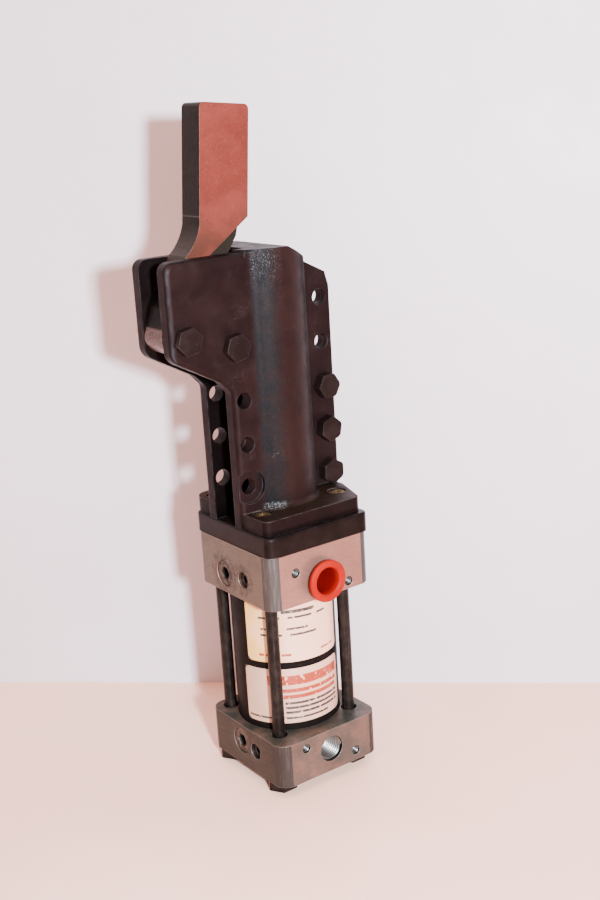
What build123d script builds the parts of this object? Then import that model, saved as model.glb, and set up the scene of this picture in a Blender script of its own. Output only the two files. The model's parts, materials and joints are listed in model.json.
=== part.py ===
from build123d import *
import math
import os

# Pneumatic toggle clamp on a tie-rod cylinder.
# Origin: centre of the lower head's underside, on the cylinder axis. +Z up along the
# cylinder, X across the clamp (the arm swings towards -X), Y along the arm's pivot pin.
# All sizes are in millimetres.

# ---- cylinder heads ----
HEAD_HALF_WIDTH = 38.8
HEAD_FRONT = 45.0
HEAD_BACK = 36.5
HEAD_CORNER = 8.0
HEAD_CORNER_BULGE = 1.3
LOWER_HEAD_HEIGHT = 28.5
UPPER_HEAD_Z = 118.8
UPPER_HEAD_HEIGHT = 34.0
UPPER_HEAD_TOP = UPPER_HEAD_Z + UPPER_HEAD_HEIGHT
PORT_Z = 15.3
UPPER_PORT_Z = UPPER_HEAD_Z + 12.2
PORT_RADIUS = 8.6
PORT_DEPTH = 20.0
PLUG_BORE_DEPTH = 14.0
PASSAGE_Y = -26.0
PASSAGE_RADIUS = 3.0
CUSHION_RADIUS = 5.3
CUSHION_DEPTH = 10.0
TAP_RADIUS = 3.1
TAP_DEPTH = 8.0
LOWER_TAPS = ((-19.5, 22.3), (19.3, 7.0))
UPPER_TAPS = ((-19.5, UPPER_HEAD_Z + 21.0), (20.2, UPPER_HEAD_Z + 5.0))
PLUGS = ((0.0, 17.0), (5.0, UPPER_HEAD_Z + 12.4))
CUSHIONS = ((-15.8, 15.6), (-15.8, UPPER_HEAD_Z + 13.6))
NUT_POCKET = 14.0
NUT_POCKET_Z = 19.0

# ---- tube, labels and tie rods ----
BORE_RADIUS = 31.75
TUBE_RADIUS = 33.4
TUBE_SEAT = 2.2
TUBE_SEAT_GAP = 0.1
GASKET = 0.8
LABEL_GAP = 0.05
LABEL_THICKNESS = 0.2
LABEL_END_ANGLE = -54.0
LOWER_LABEL_START_ANGLE = -175.0
UPPER_LABEL_START_ANGLE = -169.0
LOWER_LABEL_Z = 33.0
LOWER_LABEL_HEIGHT = 37.5
UPPER_LABEL_Z = 75.0
UPPER_LABEL_HEIGHT = 41.5
ROD_PITCH = 27.8
TIE_ROD_RADIUS = 3.97
TIE_ROD_HOLE = 4.4
TIE_ROD_RELIEF = 5.3
RELIEF_DEPTH = 4.0
TIE_ROD_TOP = 136.0
ROD_END_CHAMFER = 0.8
ROD_TAIL = 0.4
NUT_SMALL_FLATS = 14.3
FOOT_NUT_FLATS = 17.4
FOOT_NUT_HEIGHT = 8.0
NUT_EDGE = 0.6

# ---- plugs, cushion screws and port cap ----
PLUG_FIT = 0.1
PLUG_RECESS = 0.6
PLUG_LENGTH = 11.0
PLUG_SOCKET_FLATS = 8.0
SOCKET_DEPTH = 6.0
CUSHION_RECESS = 2.0
CUSHION_LENGTH = 7.5
CUSHION_SOCKET_FLATS = 4.8
CAP_PROFILE = ((0, -12.0), (7.2, -12.0), (8.5, 0), (9.3, 4.5), (13.2, 4.5), (13.2, 6.2), (12.6, 6.8),
               (9.6, 6.8), (8.6, 5.8), (6.2, -10.8), (0, -10.8))

# ---- piston and rod ----
STROKE = 50.0
PISTON_Z = 30.5
PISTON_HEIGHT = 22.0
PISTON_CLEARANCE = 0.08
SEAL_CLEARANCE = 0.04
SEAL_HEIGHT = 3.2
SEAL_DEPTH = 3.5
SEAL_FROM_END = 2.5
WEAR_BAND_HEIGHT = 5.0
WEAR_BAND_DEPTH = 2.0
ROD_RADIUS = 12.7
ROD_STUD = 8.0
STUD_LENGTH = 15.0
PISTON_NUT_FLATS = 22.0
PISTON_NUT_HEIGHT = 9.0
GLAND_RADIUS = 17.0
GLAND_GAP = 0.05
BUSHING_Z = 126.0
BUSHING_HEIGHT = 16.0
ROD_SEAL_HEIGHT = 5.0

# ---- retainer plate and body halves ----
PLATE_THICKNESS = 12.5
PLATE_HALF_WIDTH = 38.2
PLATE_FRONT = 45.4
PLATE_BACK = 36.0
PLATE_CORNER = 5.0
PLATE_EDGE = 1.2
PLATE_ROD_GAP = 1.0
PLATE_TOP = UPPER_HEAD_TOP + PLATE_THICKNESS
FOOT_THICKNESS = 10.0
FOOT_TOP = PLATE_TOP + FOOT_THICKNESS
FOOT_LEFT = -37.0
FOOT_RIGHT_END = 33.5
FOOT_RIGHT = 43.0
FOOT_WAIST = 14.0
FOOT_FRONT = 42.5
FOOT_BACK = 38.0
FOOT_CORNER = 4.5
FOOT_CORNER_BACK = 9.0
FOOT_SCREW_HEAD_RADIUS = 5.2
FOOT_SCREW_HEAD = 5.0
FOOT_SCREW_LENGTH = 38.0
FOOT_SCREW_RADIUS = 3.2
FOOT_SCREW_RECESS = 0.8
FOOT_SCREW_FLATS = 4.8
FOOT_SCREW_SOCKET = 2.6
FOOT_SCREWS = ((-27.8, -26.4), (31.0, -23.0), (-27.8, 26.4), (31.0, 23.0))
SCREW_GAP = 0.6
SCREW_END_GAP = 2.0
SLOT_HALF = 10.7
CHEEK_OUTER = 20.0
CHEEK_THICKNESS = CHEEK_OUTER - SLOT_HALF
CHEEK_EDGE = 3.2
CHEEK_RIGHT = -8.0
COLUMN_LEFT = -38.0
HEAD_LEFT = -77.0
HEAD_TOP = 330.5
HEAD_CORNER_TOP = 6.0
COLUMN_CORNER = (-38.0, 250.0)
THROAT = (-45.0, 257.5)
THROAT_ROUND = 6.0
CHIN = (-77.0, 275.0)
CHIN_ROUND = 9.0
BARREL_X = -1.5
BARREL_RADIUS = 27.3
BARREL_TOP = 332.0
BARREL_BORE = 21.0
BARREL_SLOPE = (2.0, 332.0)
CHEEK_COVE = 11.0
FLANGE_COVE = 3.0
FOOT_COVE = 3.0
ROOF_THICKNESS = 6.0
ROOF_LEFT = -18.0
BORE_TOP = 316.0
FLANGE_RIGHT = 46.4
FLANGE_THICKNESS = 5.0
FLANGE_LOW = 177.5
FLANGE_SHOULDER = (46.4, 302.0)
FLANGE_SLOPE_TOP = (43.9, 310.5)
FLANGE_HOLE_X = 38.6
FLANGE_HOLE_Z = 184.1
FLANGE_HOLE_PITCH = 27.8
FLANGE_HOLE_COUNT = 5
FLANGE_BOLT_COUNT = 3
BOLT_RADIUS = 4.76
BOLT_HOLE = 5.0
BOLT_HEAD_HEIGHT = 7.0
BOLT_TURNS = (29.0, 19.0, 2.0)
BOLT_END = 2.0
NUT_HEIGHT = 8.2
COLUMN_HOLE_X = -31.0
COLUMN_HOLE_Z = 191.2
COLUMN_HOLE_PITCH = 26.6
COLUMN_HOLE_COUNT = 3
COLUMN_HOLE_RADIUS = 5.0
SPOT_FACE_RADIUS = 10.3
SPOT_FACE_DEPTH = 2.2

# ---- pivot and stop bolts across the head ----
PIVOT_X = -67.5
PIVOT_Z = 286.0
STOP_X = -35.5
STOP_Z = 277.5
PIN_RADIUS = 5.56
PIN_HOLE = 5.6
PIN_FLATS = 14.6
PIN_HEAD_HEIGHT = 5.6
PIN_NUT_HEIGHT = 9.0
PIN_END = 1.5
HEX_TURN = 12.0
HEX_CONE = 30.0
HEX_FACE = 1.09
GREASE_PROFILE = ((0, 0), (3.6, 0), (3.6, 4.5), (2.2, 6.0), (2.2, 8.0), (3.2, 9.0), (3.2, 11.5),
                  (2.0, 12.5), (0, 12.5))
STOP_LENGTH = 2 * CHEEK_OUTER + PIN_NUT_HEIGHT + PIN_END

# ---- arm ----
ARM_THICKNESS = 19.05
ARM_LEAN = 5.1
ARM_WIDTH = 32.8
ARM_SHOULDER = (-45.9, 348.2)
ARM_LENGTH = 67.5
BLADE_HEEL = 4.5
TIP_ROUND = 3.0
NECK_ARC_MIDDLE = (-48.6, 341.0)
NECK_ARC_END = (-56.5, 331.4)
NECK_LOW = (-73.5, 304.0)
BLADE_CHAMFER = (-16.3, 347.4)
STEP_POINTS = ((-17.1, 344.5), (-18.6, 339.0), (-22.6, 333.0), (-31.0, 322.0))
RELIEF_OUTLINE = ((-10.0, 351.75), (-64.0, 314.3), (-61.5, 300.0), (-59.0, 294.0), (-56.5, 288.0),
                  (0.0, 288.0), (0.0, 351.75))
HUB_RADIUS = 9.6
BUSH_RADIUS = 7.2
BUSH_CLEARANCE = 0.03
TONGUE_HALF = 4.4
TONGUE_EYE = 9.5
ARM_SWING = 90.0

# ---- toggle links and slide ----
CRANK_RADIUS = 30.0
CRANK_ANGLE = 64.0
SLIDE_PIN_X = 6.0
LINK_PIN_RADIUS = 4.0
LINK_PIN_HALF = 9.4
LINK_HALF_WIDTH = 5.5
LINK_EYE = 8.5
LINK_INNER = 4.8
LINK_THICKNESS = 4.4
LINK_KNEE_ALONG = 30.0
LINK_KNEE_OFFSET = 12.0
LINK_KNEE_RADIUS = 20.0
PIN_GAP = 0.04
TANG_EYE = 13.6
TANG_WINDOW = 8.6
SLIDE_HEIGHT = 20.0
SLIDE_DROP = 34.5
SLIDE_CLEARANCE = 0.08

# ---- cutting ----
OVERCUT = 1.0
FAR = 60.0

TIE_RODS = [(x, y) for x in (-ROD_PITCH, ROD_PITCH) for y in (-ROD_PITCH, ROD_PITCH)]


def crank_pin(swing):
    """Place of the arm's link pin after the arm has swung by an angle in degrees."""
    angle = math.radians(CRANK_ANGLE + swing)
    return (PIVOT_X + CRANK_RADIUS * math.cos(angle), PIVOT_Z + CRANK_RADIUS * math.sin(angle))


def slide_pin_height():
    """Height of the slide's pin at rest, where one link length fits both ends of the stroke."""
    rest = crank_pin(0)
    shut = crank_pin(ARM_SWING)
    lowered = shut[1] - STROKE
    reach = (shut[0] - SLIDE_PIN_X) ** 2 - (rest[0] - SLIDE_PIN_X) ** 2
    return (rest[1] ** 2 - lowered**2 - reach) / (2 * (rest[1] - lowered))


CRANK_PIN = crank_pin(0)
SLIDE_PIN_Z = slide_pin_height()
LINK_LENGTH = math.dist(CRANK_PIN, (SLIDE_PIN_X, SLIDE_PIN_Z))
SLIDE_Z = SLIDE_PIN_Z - SLIDE_DROP

os.makedirs("parts", exist_ok=True)


def corner_at(sketch, x, z):
    """The sketch's corner nearest to a point of its own plane."""
    return sketch.vertices().sort_by_distance((x, z, 0))[0]


def save(piece, label):
    """Label a finished piece and write it as one STEP file."""
    piece.part.label = label
    export_step(piece.part, f"parts/{label}.step")


# ---------------------------------------------------------------- cylinder heads


def head_outline():
    """Milled faces with the bar's rounded corner left between them."""
    right = HEAD_HALF_WIDTH
    middle = (HEAD_BACK - HEAD_FRONT) / 2
    half_depth = (HEAD_BACK + HEAD_FRONT) / 2
    corners = [(1, 1), (-1, 1), (-1, -1), (1, -1)]
    ends = []
    for sx, sy in corners:
        on_side = (sx * right, middle + sy * (half_depth - HEAD_CORNER))
        on_face = (sx * (right - HEAD_CORNER), middle + sy * half_depth)
        bow = HEAD_CORNER / 2 - HEAD_CORNER_BULGE
        bulge = (sx * (right - bow), middle + sy * (half_depth - bow))
        if sx * sy > 0:
            ends.append((on_side, bulge, on_face))
        else:
            ends.append((on_face, bulge, on_side))
    with BuildSketch(Plane.XY) as outline:
        with BuildLine():
            for index, (start, bulge, finish) in enumerate(ends):
                ThreePointArc(start, bulge, finish)
                Line(finish, ends[(index + 1) % len(ends)][0])
        make_face()
    return outline.sketch


def head_ports(port_z, taps, plug, cushion):
    """Front port, side plug bore, cushion screw bore and small tapped holes."""
    with BuildSketch(Plane.XZ.offset(HEAD_FRONT)) as profile:
        with Locations((0, port_z)):
            Circle(PORT_RADIUS)
    extrude(profile.sketch, amount=-PORT_DEPTH, mode=Mode.SUBTRACT)
    with BuildSketch(Plane.XZ.offset(HEAD_FRONT)) as profile:
        with Locations(*taps):
            Circle(TAP_RADIUS)
    extrude(profile.sketch, amount=-TAP_DEPTH, mode=Mode.SUBTRACT)
    left = Plane.YZ.offset(-HEAD_HALF_WIDTH)
    with BuildSketch(left) as profile:
        with Locations(plug):
            Circle(PORT_RADIUS)
    extrude(profile.sketch, amount=PLUG_BORE_DEPTH, mode=Mode.SUBTRACT)
    with BuildSketch(left) as profile:
        with Locations(cushion):
            Circle(CUSHION_RADIUS)
    extrude(profile.sketch, amount=CUSHION_DEPTH, mode=Mode.SUBTRACT)


def bore(z, height, radius, places=((0, 0),)):
    """Cut round holes upwards from height z."""
    with BuildSketch(Plane.XY.offset(z)) as profile:
        with Locations(*places):
            Circle(radius)
    extrude(profile.sketch, amount=height, mode=Mode.SUBTRACT)


with BuildPart() as lower_head:
    add(head_outline())
    extrude(amount=LOWER_HEAD_HEIGHT)
    bore(LOWER_HEAD_HEIGHT - TUBE_SEAT, TUBE_SEAT, TUBE_RADIUS + TUBE_SEAT_GAP)
    bore(NUT_POCKET_Z, LOWER_HEAD_HEIGHT, NUT_POCKET)
    bore(PORT_Z, LOWER_HEAD_HEIGHT, PASSAGE_RADIUS, ((0, PASSAGE_Y),))
    bore(0, LOWER_HEAD_HEIGHT, TIE_ROD_HOLE, TIE_RODS)
    bore(LOWER_HEAD_HEIGHT - RELIEF_DEPTH, LOWER_HEAD_HEIGHT, TIE_ROD_RELIEF, TIE_RODS)
    head_ports(PORT_Z, LOWER_TAPS, PLUGS[0], CUSHIONS[0])
save(lower_head, "lower_head")

with BuildPart() as upper_head:
    add(head_outline().moved(Location((0, 0, UPPER_HEAD_Z))))
    extrude(amount=UPPER_HEAD_HEIGHT)
    bore(UPPER_HEAD_Z, TUBE_SEAT, TUBE_RADIUS + TUBE_SEAT_GAP)
    bore(UPPER_HEAD_Z, UPPER_HEAD_HEIGHT, GLAND_RADIUS)
    bore(UPPER_HEAD_Z, UPPER_PORT_Z - UPPER_HEAD_Z, PASSAGE_RADIUS, ((0, PASSAGE_Y),))
    bore(UPPER_HEAD_Z, TIE_ROD_TOP - UPPER_HEAD_Z, TIE_ROD_HOLE, TIE_RODS)
    bore(FOOT_TOP - FOOT_SCREW_LENGTH, FOOT_SCREW_LENGTH, FOOT_SCREW_RADIUS, FOOT_SCREWS)
    head_ports(UPPER_PORT_Z, UPPER_TAPS, PLUGS[1], CUSHIONS[1])
save(upper_head, "upper_head")


# ---------------------------------------------------------------- round pieces


def ring(z, height, outer, inner):
    """A plain ring about the cylinder axis, from height z upwards."""
    with BuildSketch(Plane.XY.offset(z)) as profile:
        Circle(outer)
        Circle(inner, mode=Mode.SUBTRACT)
    extrude(profile.sketch, amount=height)


TUBE_Z = LOWER_HEAD_HEIGHT - TUBE_SEAT + GASKET
TUBE_END = UPPER_HEAD_Z + TUBE_SEAT - GASKET

with BuildPart() as cylinder_tube:
    ring(TUBE_Z, TUBE_END - TUBE_Z, TUBE_RADIUS, BORE_RADIUS)
save(cylinder_tube, "cylinder_tube")

with BuildPart() as tube_gaskets:
    ring(TUBE_Z - GASKET, GASKET, TUBE_RADIUS, BORE_RADIUS)
    ring(TUBE_END, GASKET, TUBE_RADIUS, BORE_RADIUS)
save(tube_gaskets, "tube_gaskets")


def polar(radius, angle):
    """A point at an angle in degrees round the cylinder axis."""
    turn = math.radians(angle)
    return (radius * math.cos(turn), radius * math.sin(turn))


def label_sheet(z, height, first):
    """A thin printed film wrapped round the front of the tube from one angle to the end angle."""
    inner = TUBE_RADIUS + LABEL_GAP
    outer = inner + LABEL_THICKNESS
    last = LABEL_END_ANGLE
    middle = (first + last) / 2
    with BuildSketch(Plane.XY.offset(z)) as profile:
        with BuildLine():
            ThreePointArc(polar(outer, first), polar(outer, middle), polar(outer, last))
            Line(polar(outer, last), polar(inner, last))
            ThreePointArc(polar(inner, last), polar(inner, middle), polar(inner, first))
            Line(polar(inner, first), polar(outer, first))
        make_face()
    extrude(profile.sketch, amount=height)


with BuildPart() as tube_label_lower:
    label_sheet(LOWER_LABEL_Z, LOWER_LABEL_HEIGHT, LOWER_LABEL_START_ANGLE)
save(tube_label_lower, "tube_label_lower")

with BuildPart() as tube_label_upper:
    label_sheet(UPPER_LABEL_Z, UPPER_LABEL_HEIGHT, UPPER_LABEL_START_ANGLE)
save(tube_label_upper, "tube_label_upper")


# ---------------------------------------------------------------- tie rods and their nuts

with BuildPart() as tie_rods:
    with BuildSketch(Plane.XY.offset(ROD_TAIL - FOOT_NUT_HEIGHT)):
        with Locations(*TIE_RODS):
            Circle(TIE_ROD_RADIUS)
    extrude(amount=FOOT_NUT_HEIGHT - ROD_TAIL + TIE_ROD_TOP)
    chamfer(tie_rods.edges().filter_by(GeomType.CIRCLE), ROD_END_CHAMFER)
save(tie_rods, "tie_rods")


def hexagon_across_flats(flats, turn=0):
    """A hexagon given by the distance across its flats."""
    RegularPolygon(flats / math.sqrt(3), 6, rotation=turn)


with BuildPart() as tie_rod_nuts:
    with BuildSketch(Plane.XY.offset(-FOOT_NUT_HEIGHT)):
        with Locations(*TIE_RODS):
            hexagon_across_flats(FOOT_NUT_FLATS)
            Circle(TIE_ROD_RADIUS + PIN_GAP, mode=Mode.SUBTRACT)
    extrude(amount=FOOT_NUT_HEIGHT)
    chamfer(tie_rod_nuts.faces().filter_by(Axis.Z).group_by(Axis.Z)[0].edges()
            .filter_by(GeomType.LINE), NUT_EDGE)
save(tie_rod_nuts, "tie_rod_nuts")


# ---------------------------------------------------------------- plugs and screws in the heads


def socket_screws(places, radius, length, flats, recess):
    """Round headless screws with a hex socket, sunk a little in the heads' left faces."""
    face = Plane.YZ.offset(recess - HEAD_HALF_WIDTH)
    with BuildSketch(face) as profile:
        with Locations(*places):
            Circle(radius)
    extrude(profile.sketch, amount=length)
    with BuildSketch(face) as profile:
        with Locations(*places):
            hexagon_across_flats(flats)
    extrude(profile.sketch, amount=SOCKET_DEPTH, mode=Mode.SUBTRACT)


with BuildPart() as pipe_plugs:
    socket_screws(PLUGS, PORT_RADIUS - PLUG_FIT, PLUG_LENGTH, PLUG_SOCKET_FLATS, PLUG_RECESS)
save(pipe_plugs, "pipe_plugs")

with BuildPart() as cushion_screws:
    socket_screws(CUSHIONS, CUSHION_RADIUS - PLUG_FIT, CUSHION_LENGTH, CUSHION_SOCKET_FLATS,
                  CUSHION_RECESS)
save(cushion_screws, "cushion_screws")

with BuildPart() as port_cap:
    with BuildSketch(Plane.XY.offset(UPPER_PORT_Z)):
        with BuildLine():
            Polyline([(r, -HEAD_FRONT - out) for r, out in CAP_PROFILE], close=True)
        make_face()
    revolve(axis=Axis((0, 0, UPPER_PORT_Z), (0, 1, 0)))
save(port_cap, "port_cap")


# ---------------------------------------------------------------- piston and rod

SEAL_LOW = PISTON_Z + SEAL_FROM_END
SEAL_HIGH = PISTON_Z + PISTON_HEIGHT - SEAL_FROM_END - SEAL_HEIGHT
BAND_Z = PISTON_Z + (PISTON_HEIGHT - WEAR_BAND_HEIGHT) / 2
PISTON_RADIUS = BORE_RADIUS - PISTON_CLEARANCE
SEAL_RADIUS = BORE_RADIUS - SEAL_CLEARANCE
SEAL_ROOT = PISTON_RADIUS - SEAL_DEPTH
BAND_ROOT = PISTON_RADIUS - WEAR_BAND_DEPTH


def groove(z, height, root):
    """Cut a groove round the piston down to a root radius."""
    with BuildSketch(Plane.XY.offset(z)) as profile:
        Circle(PISTON_RADIUS + OVERCUT)
        Circle(root, mode=Mode.SUBTRACT)
    extrude(profile.sketch, amount=height, mode=Mode.SUBTRACT)


with BuildPart() as piston:
    ring(PISTON_Z, PISTON_HEIGHT, PISTON_RADIUS, ROD_STUD + PIN_GAP)
    groove(SEAL_LOW, SEAL_HEIGHT, SEAL_ROOT)
    groove(SEAL_HIGH, SEAL_HEIGHT, SEAL_ROOT)
    groove(BAND_Z, WEAR_BAND_HEIGHT, BAND_ROOT)
save(piston, "piston")

with BuildPart() as piston_seals:
    ring(SEAL_LOW, SEAL_HEIGHT, SEAL_RADIUS, SEAL_ROOT)
    ring(SEAL_HIGH, SEAL_HEIGHT, SEAL_RADIUS, SEAL_ROOT)
save(piston_seals, "piston_seals")

with BuildPart() as piston_wear_band:
    ring(BAND_Z, WEAR_BAND_HEIGHT, SEAL_RADIUS, BAND_ROOT)
save(piston_wear_band, "piston_wear_band")

with BuildPart() as piston_nut:
    with BuildSketch(Plane.XY.offset(PISTON_Z - PISTON_NUT_HEIGHT)):
        hexagon_across_flats(PISTON_NUT_FLATS)
        Circle(ROD_STUD + PIN_GAP, mode=Mode.SUBTRACT)
    extrude(amount=PISTON_NUT_HEIGHT)
save(piston_nut, "piston_nut")

PISTON_TOP = PISTON_Z + PISTON_HEIGHT

with BuildPart() as piston_rod:
    with BuildSketch(Plane.XY.offset(PISTON_TOP)):
        Circle(ROD_RADIUS)
    extrude(amount=SLIDE_Z - PISTON_TOP)
    with BuildSketch(Plane.XY.offset(PISTON_Z - PISTON_NUT_HEIGHT)):
        Circle(ROD_STUD)
    extrude(amount=PISTON_TOP - PISTON_Z + PISTON_NUT_HEIGHT)
    with BuildSketch(Plane.XY.offset(SLIDE_Z)):
        Circle(ROD_STUD)
    extrude(amount=STUD_LENGTH)
save(piston_rod, "piston_rod")

GLAND_OUTER = GLAND_RADIUS - GLAND_GAP
GLAND_INNER = ROD_RADIUS + GLAND_GAP
ROD_SEAL_Z = BUSHING_Z + BUSHING_HEIGHT
WIPER_Z = ROD_SEAL_Z + ROD_SEAL_HEIGHT

with BuildPart() as rod_bushing:
    ring(BUSHING_Z, BUSHING_HEIGHT, GLAND_OUTER, GLAND_INNER)
save(rod_bushing, "rod_bushing")

with BuildPart() as rod_seal:
    ring(ROD_SEAL_Z, ROD_SEAL_HEIGHT, GLAND_OUTER, GLAND_INNER)
save(rod_seal, "rod_seal")

with BuildPart() as rod_wiper:
    ring(WIPER_Z, UPPER_HEAD_TOP - WIPER_Z, GLAND_OUTER, GLAND_INNER)
save(rod_wiper, "rod_wiper")


# ---------------------------------------------------------------- retainer plate

with BuildPart() as retainer_plate:
    with BuildSketch(Plane.XY.offset(UPPER_HEAD_TOP)):
        with Locations((0, (PLATE_BACK - PLATE_FRONT) / 2)):
            RectangleRounded(2 * PLATE_HALF_WIDTH, PLATE_BACK + PLATE_FRONT, PLATE_CORNER)
    extrude(amount=PLATE_THICKNESS)
    fillet(retainer_plate.edges().group_by(Axis.Z)[-1], PLATE_EDGE)
    bore(UPPER_HEAD_TOP, PLATE_THICKNESS, ROD_RADIUS + PLATE_ROD_GAP)
    bore(UPPER_HEAD_TOP, PLATE_THICKNESS, FOOT_SCREW_RADIUS + SCREW_GAP, FOOT_SCREWS)
save(retainer_plate, "retainer_plate")


# ---------------------------------------------------------------- body halves

ROOF_UNDERSIDE = BARREL_TOP - ROOF_THICKNESS
SPOT_FACE_TOP = CHEEK_OUTER - SPOT_FACE_DEPTH
FLANGE_HOLES = [(FLANGE_HOLE_X, FLANGE_HOLE_Z + n * FLANGE_HOLE_PITCH) for n in range(FLANGE_HOLE_COUNT)]
COLUMN_HOLES = [(COLUMN_HOLE_X, COLUMN_HOLE_Z + n * COLUMN_HOLE_PITCH)
                for n in range(COLUMN_HOLE_COUNT)]


def cheek():
    """Side plate from the foot up the column and round the head, before the holes."""
    with BuildSketch(Plane.XZ.offset(SLOT_HALF)) as profile:
        with BuildLine():
            Polyline((CHEEK_RIGHT, PLATE_TOP), (COLUMN_LEFT, PLATE_TOP), COLUMN_CORNER, THROAT, CHIN,
                     (HEAD_LEFT, HEAD_TOP), (CHEEK_RIGHT, HEAD_TOP), close=True)
        make_face()
        fillet(corner_at(profile, HEAD_LEFT, HEAD_TOP), HEAD_CORNER_TOP)
        fillet(corner_at(profile, *CHIN), CHIN_ROUND)
        fillet(corner_at(profile, *THROAT), THROAT_ROUND)
        fillet(corner_at(profile, *COLUMN_CORNER), THROAT_ROUND)
    extrude(profile.sketch, amount=CHEEK_THICKNESS)


def barrel():
    """Half of the round housing that guides the slide."""
    with BuildSketch(Plane.XY.offset(PLATE_TOP)) as profile:
        with Locations((BARREL_X, 0)):
            Circle(BARREL_RADIUS)
        with Locations((0, FAR / 2)):
            Rectangle(2 * FAR, FAR, mode=Mode.SUBTRACT)
    extrude(profile.sketch, amount=BARREL_TOP - PLATE_TOP)


def flange():
    """Flat joint flange at the barrel's right side."""
    with BuildSketch(Plane.XZ) as profile:
        with BuildLine():
            Polyline((BARREL_X, FOOT_TOP), (FOOT_RIGHT, FOOT_TOP), (FLANGE_RIGHT, FLANGE_LOW),
                     FLANGE_SHOULDER, FLANGE_SLOPE_TOP, BARREL_SLOPE, (BARREL_X, BARREL_TOP),
                     close=True)
        make_face()
    extrude(profile.sketch, amount=FLANGE_THICKNESS)


def foot(depth, left_corner):
    """Flat foot that bolts to the retainer plate, wider at the joint flange."""
    with BuildSketch(Plane.XY.offset(PLATE_TOP)) as profile:
        with BuildLine():
            Polyline((FOOT_LEFT, 0), (FOOT_LEFT, -depth), (FOOT_RIGHT_END, -depth),
                     (FOOT_RIGHT, -FOOT_WAIST), (FOOT_RIGHT, 0), close=True)
        make_face()
        fillet(corner_at(profile, FOOT_LEFT, -depth), left_corner)
        fillet(corner_at(profile, FOOT_RIGHT_END, -depth), FOOT_CORNER)
    extrude(profile.sketch, amount=FOOT_THICKNESS)


def upright_cove(side, wall, radius, top):
    """Rounded inner corner between the barrel and the flat wall y = -wall, on one side."""
    centre_distance = BARREL_RADIUS + radius
    drop = wall + radius
    reach = math.sqrt(centre_distance**2 - drop**2)
    centre_x = BARREL_X + side * reach
    share = radius / centre_distance
    on_wall = (centre_x, -wall)
    on_barrel = (centre_x - side * reach * share, drop * share - drop)
    half_turn = (math.pi / 2 - math.atan2(drop, reach)) / 2
    middle_angle = math.atan2(drop, reach) + half_turn
    middle = (centre_x - side * radius * math.cos(middle_angle), radius * math.sin(middle_angle) - drop)
    with BuildSketch(Plane.XY.offset(FOOT_TOP - OVERCUT)) as profile:
        with BuildLine():
            ThreePointArc(on_wall, middle, on_barrel)
            Polyline(on_barrel, (on_barrel[0] - side * OVERCUT, -wall), (on_barrel[0], OVERCUT - wall),
                     (centre_x, OVERCUT - wall), on_wall)
        make_face()
    extrude(profile.sketch, amount=top - FOOT_TOP + OVERCUT)


def foot_cove():
    """Rounded inner corner where the barrel stands on the foot."""
    outer = BARREL_X + BARREL_RADIUS + FOOT_COVE
    inner = BARREL_X + BARREL_RADIUS
    bow = FOOT_COVE * (1 - math.sqrt(0.5))
    with BuildSketch(Plane.XZ) as profile:
        with BuildLine():
            ThreePointArc((outer, FOOT_TOP), (inner + bow, FOOT_TOP + bow), (inner, FOOT_TOP + FOOT_COVE))
            Polyline((inner, FOOT_TOP + FOOT_COVE), (inner - OVERCUT, FOOT_TOP + FOOT_COVE),
                     (inner - OVERCUT, FOOT_TOP - OVERCUT), (outer, FOOT_TOP - OVERCUT), (outer, FOOT_TOP))
        make_face()
    revolve(profile.sketch, axis=Axis((BARREL_X, 0, 0), (0, 0, 1)), revolution_arc=-180)


def slope_cut():
    """Trim the barrel's top along the slope that runs out to the flange."""
    with BuildSketch(Plane.XZ.offset(-OVERCUT)) as profile:
        with BuildLine():
            Polyline(BARREL_SLOPE, FLANGE_SLOPE_TOP, (FAR, FLANGE_SLOPE_TOP[1]),
                     (FAR, BARREL_TOP + FAR), (BARREL_SLOPE[0], BARREL_TOP + FAR), close=True)
        make_face()
    extrude(profile.sketch, amount=FAR, mode=Mode.SUBTRACT)


def inner_space():
    """Slide bore, and the slot for the arm and links, open at the left and at the top."""
    bore(PLATE_TOP, BORE_TOP - PLATE_TOP, BARREL_BORE)
    with BuildSketch(Plane.XZ.offset(-OVERCUT)) as profile:
        with BuildLine():
            Polyline((HEAD_LEFT - OVERCUT, PLATE_TOP), (0, PLATE_TOP), (0, ROOF_UNDERSIDE),
                     (ROOF_LEFT, ROOF_UNDERSIDE), (ROOF_LEFT, BARREL_TOP + OVERCUT),
                     (HEAD_LEFT - OVERCUT, BARREL_TOP + OVERCUT), close=True)
        make_face()
    extrude(profile.sketch, amount=SLOT_HALF + OVERCUT, mode=Mode.SUBTRACT)


def cross_holes(places, radius, depth=FAR):
    """Cut holes along Y from the joint plane outwards."""
    with BuildSketch(Plane.XZ) as profile:
        with Locations(*places):
            Circle(radius)
    extrude(profile.sketch, amount=depth, mode=Mode.SUBTRACT)


def spot_face():
    """Shallow round seat for a bolt head at the lowest column hole."""
    with BuildSketch(Plane.XZ.offset(SPOT_FACE_TOP)) as profile:
        with Locations(COLUMN_HOLES[0]):
            Circle(SPOT_FACE_RADIUS)
    extrude(profile.sketch, amount=FAR, mode=Mode.SUBTRACT)


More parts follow.
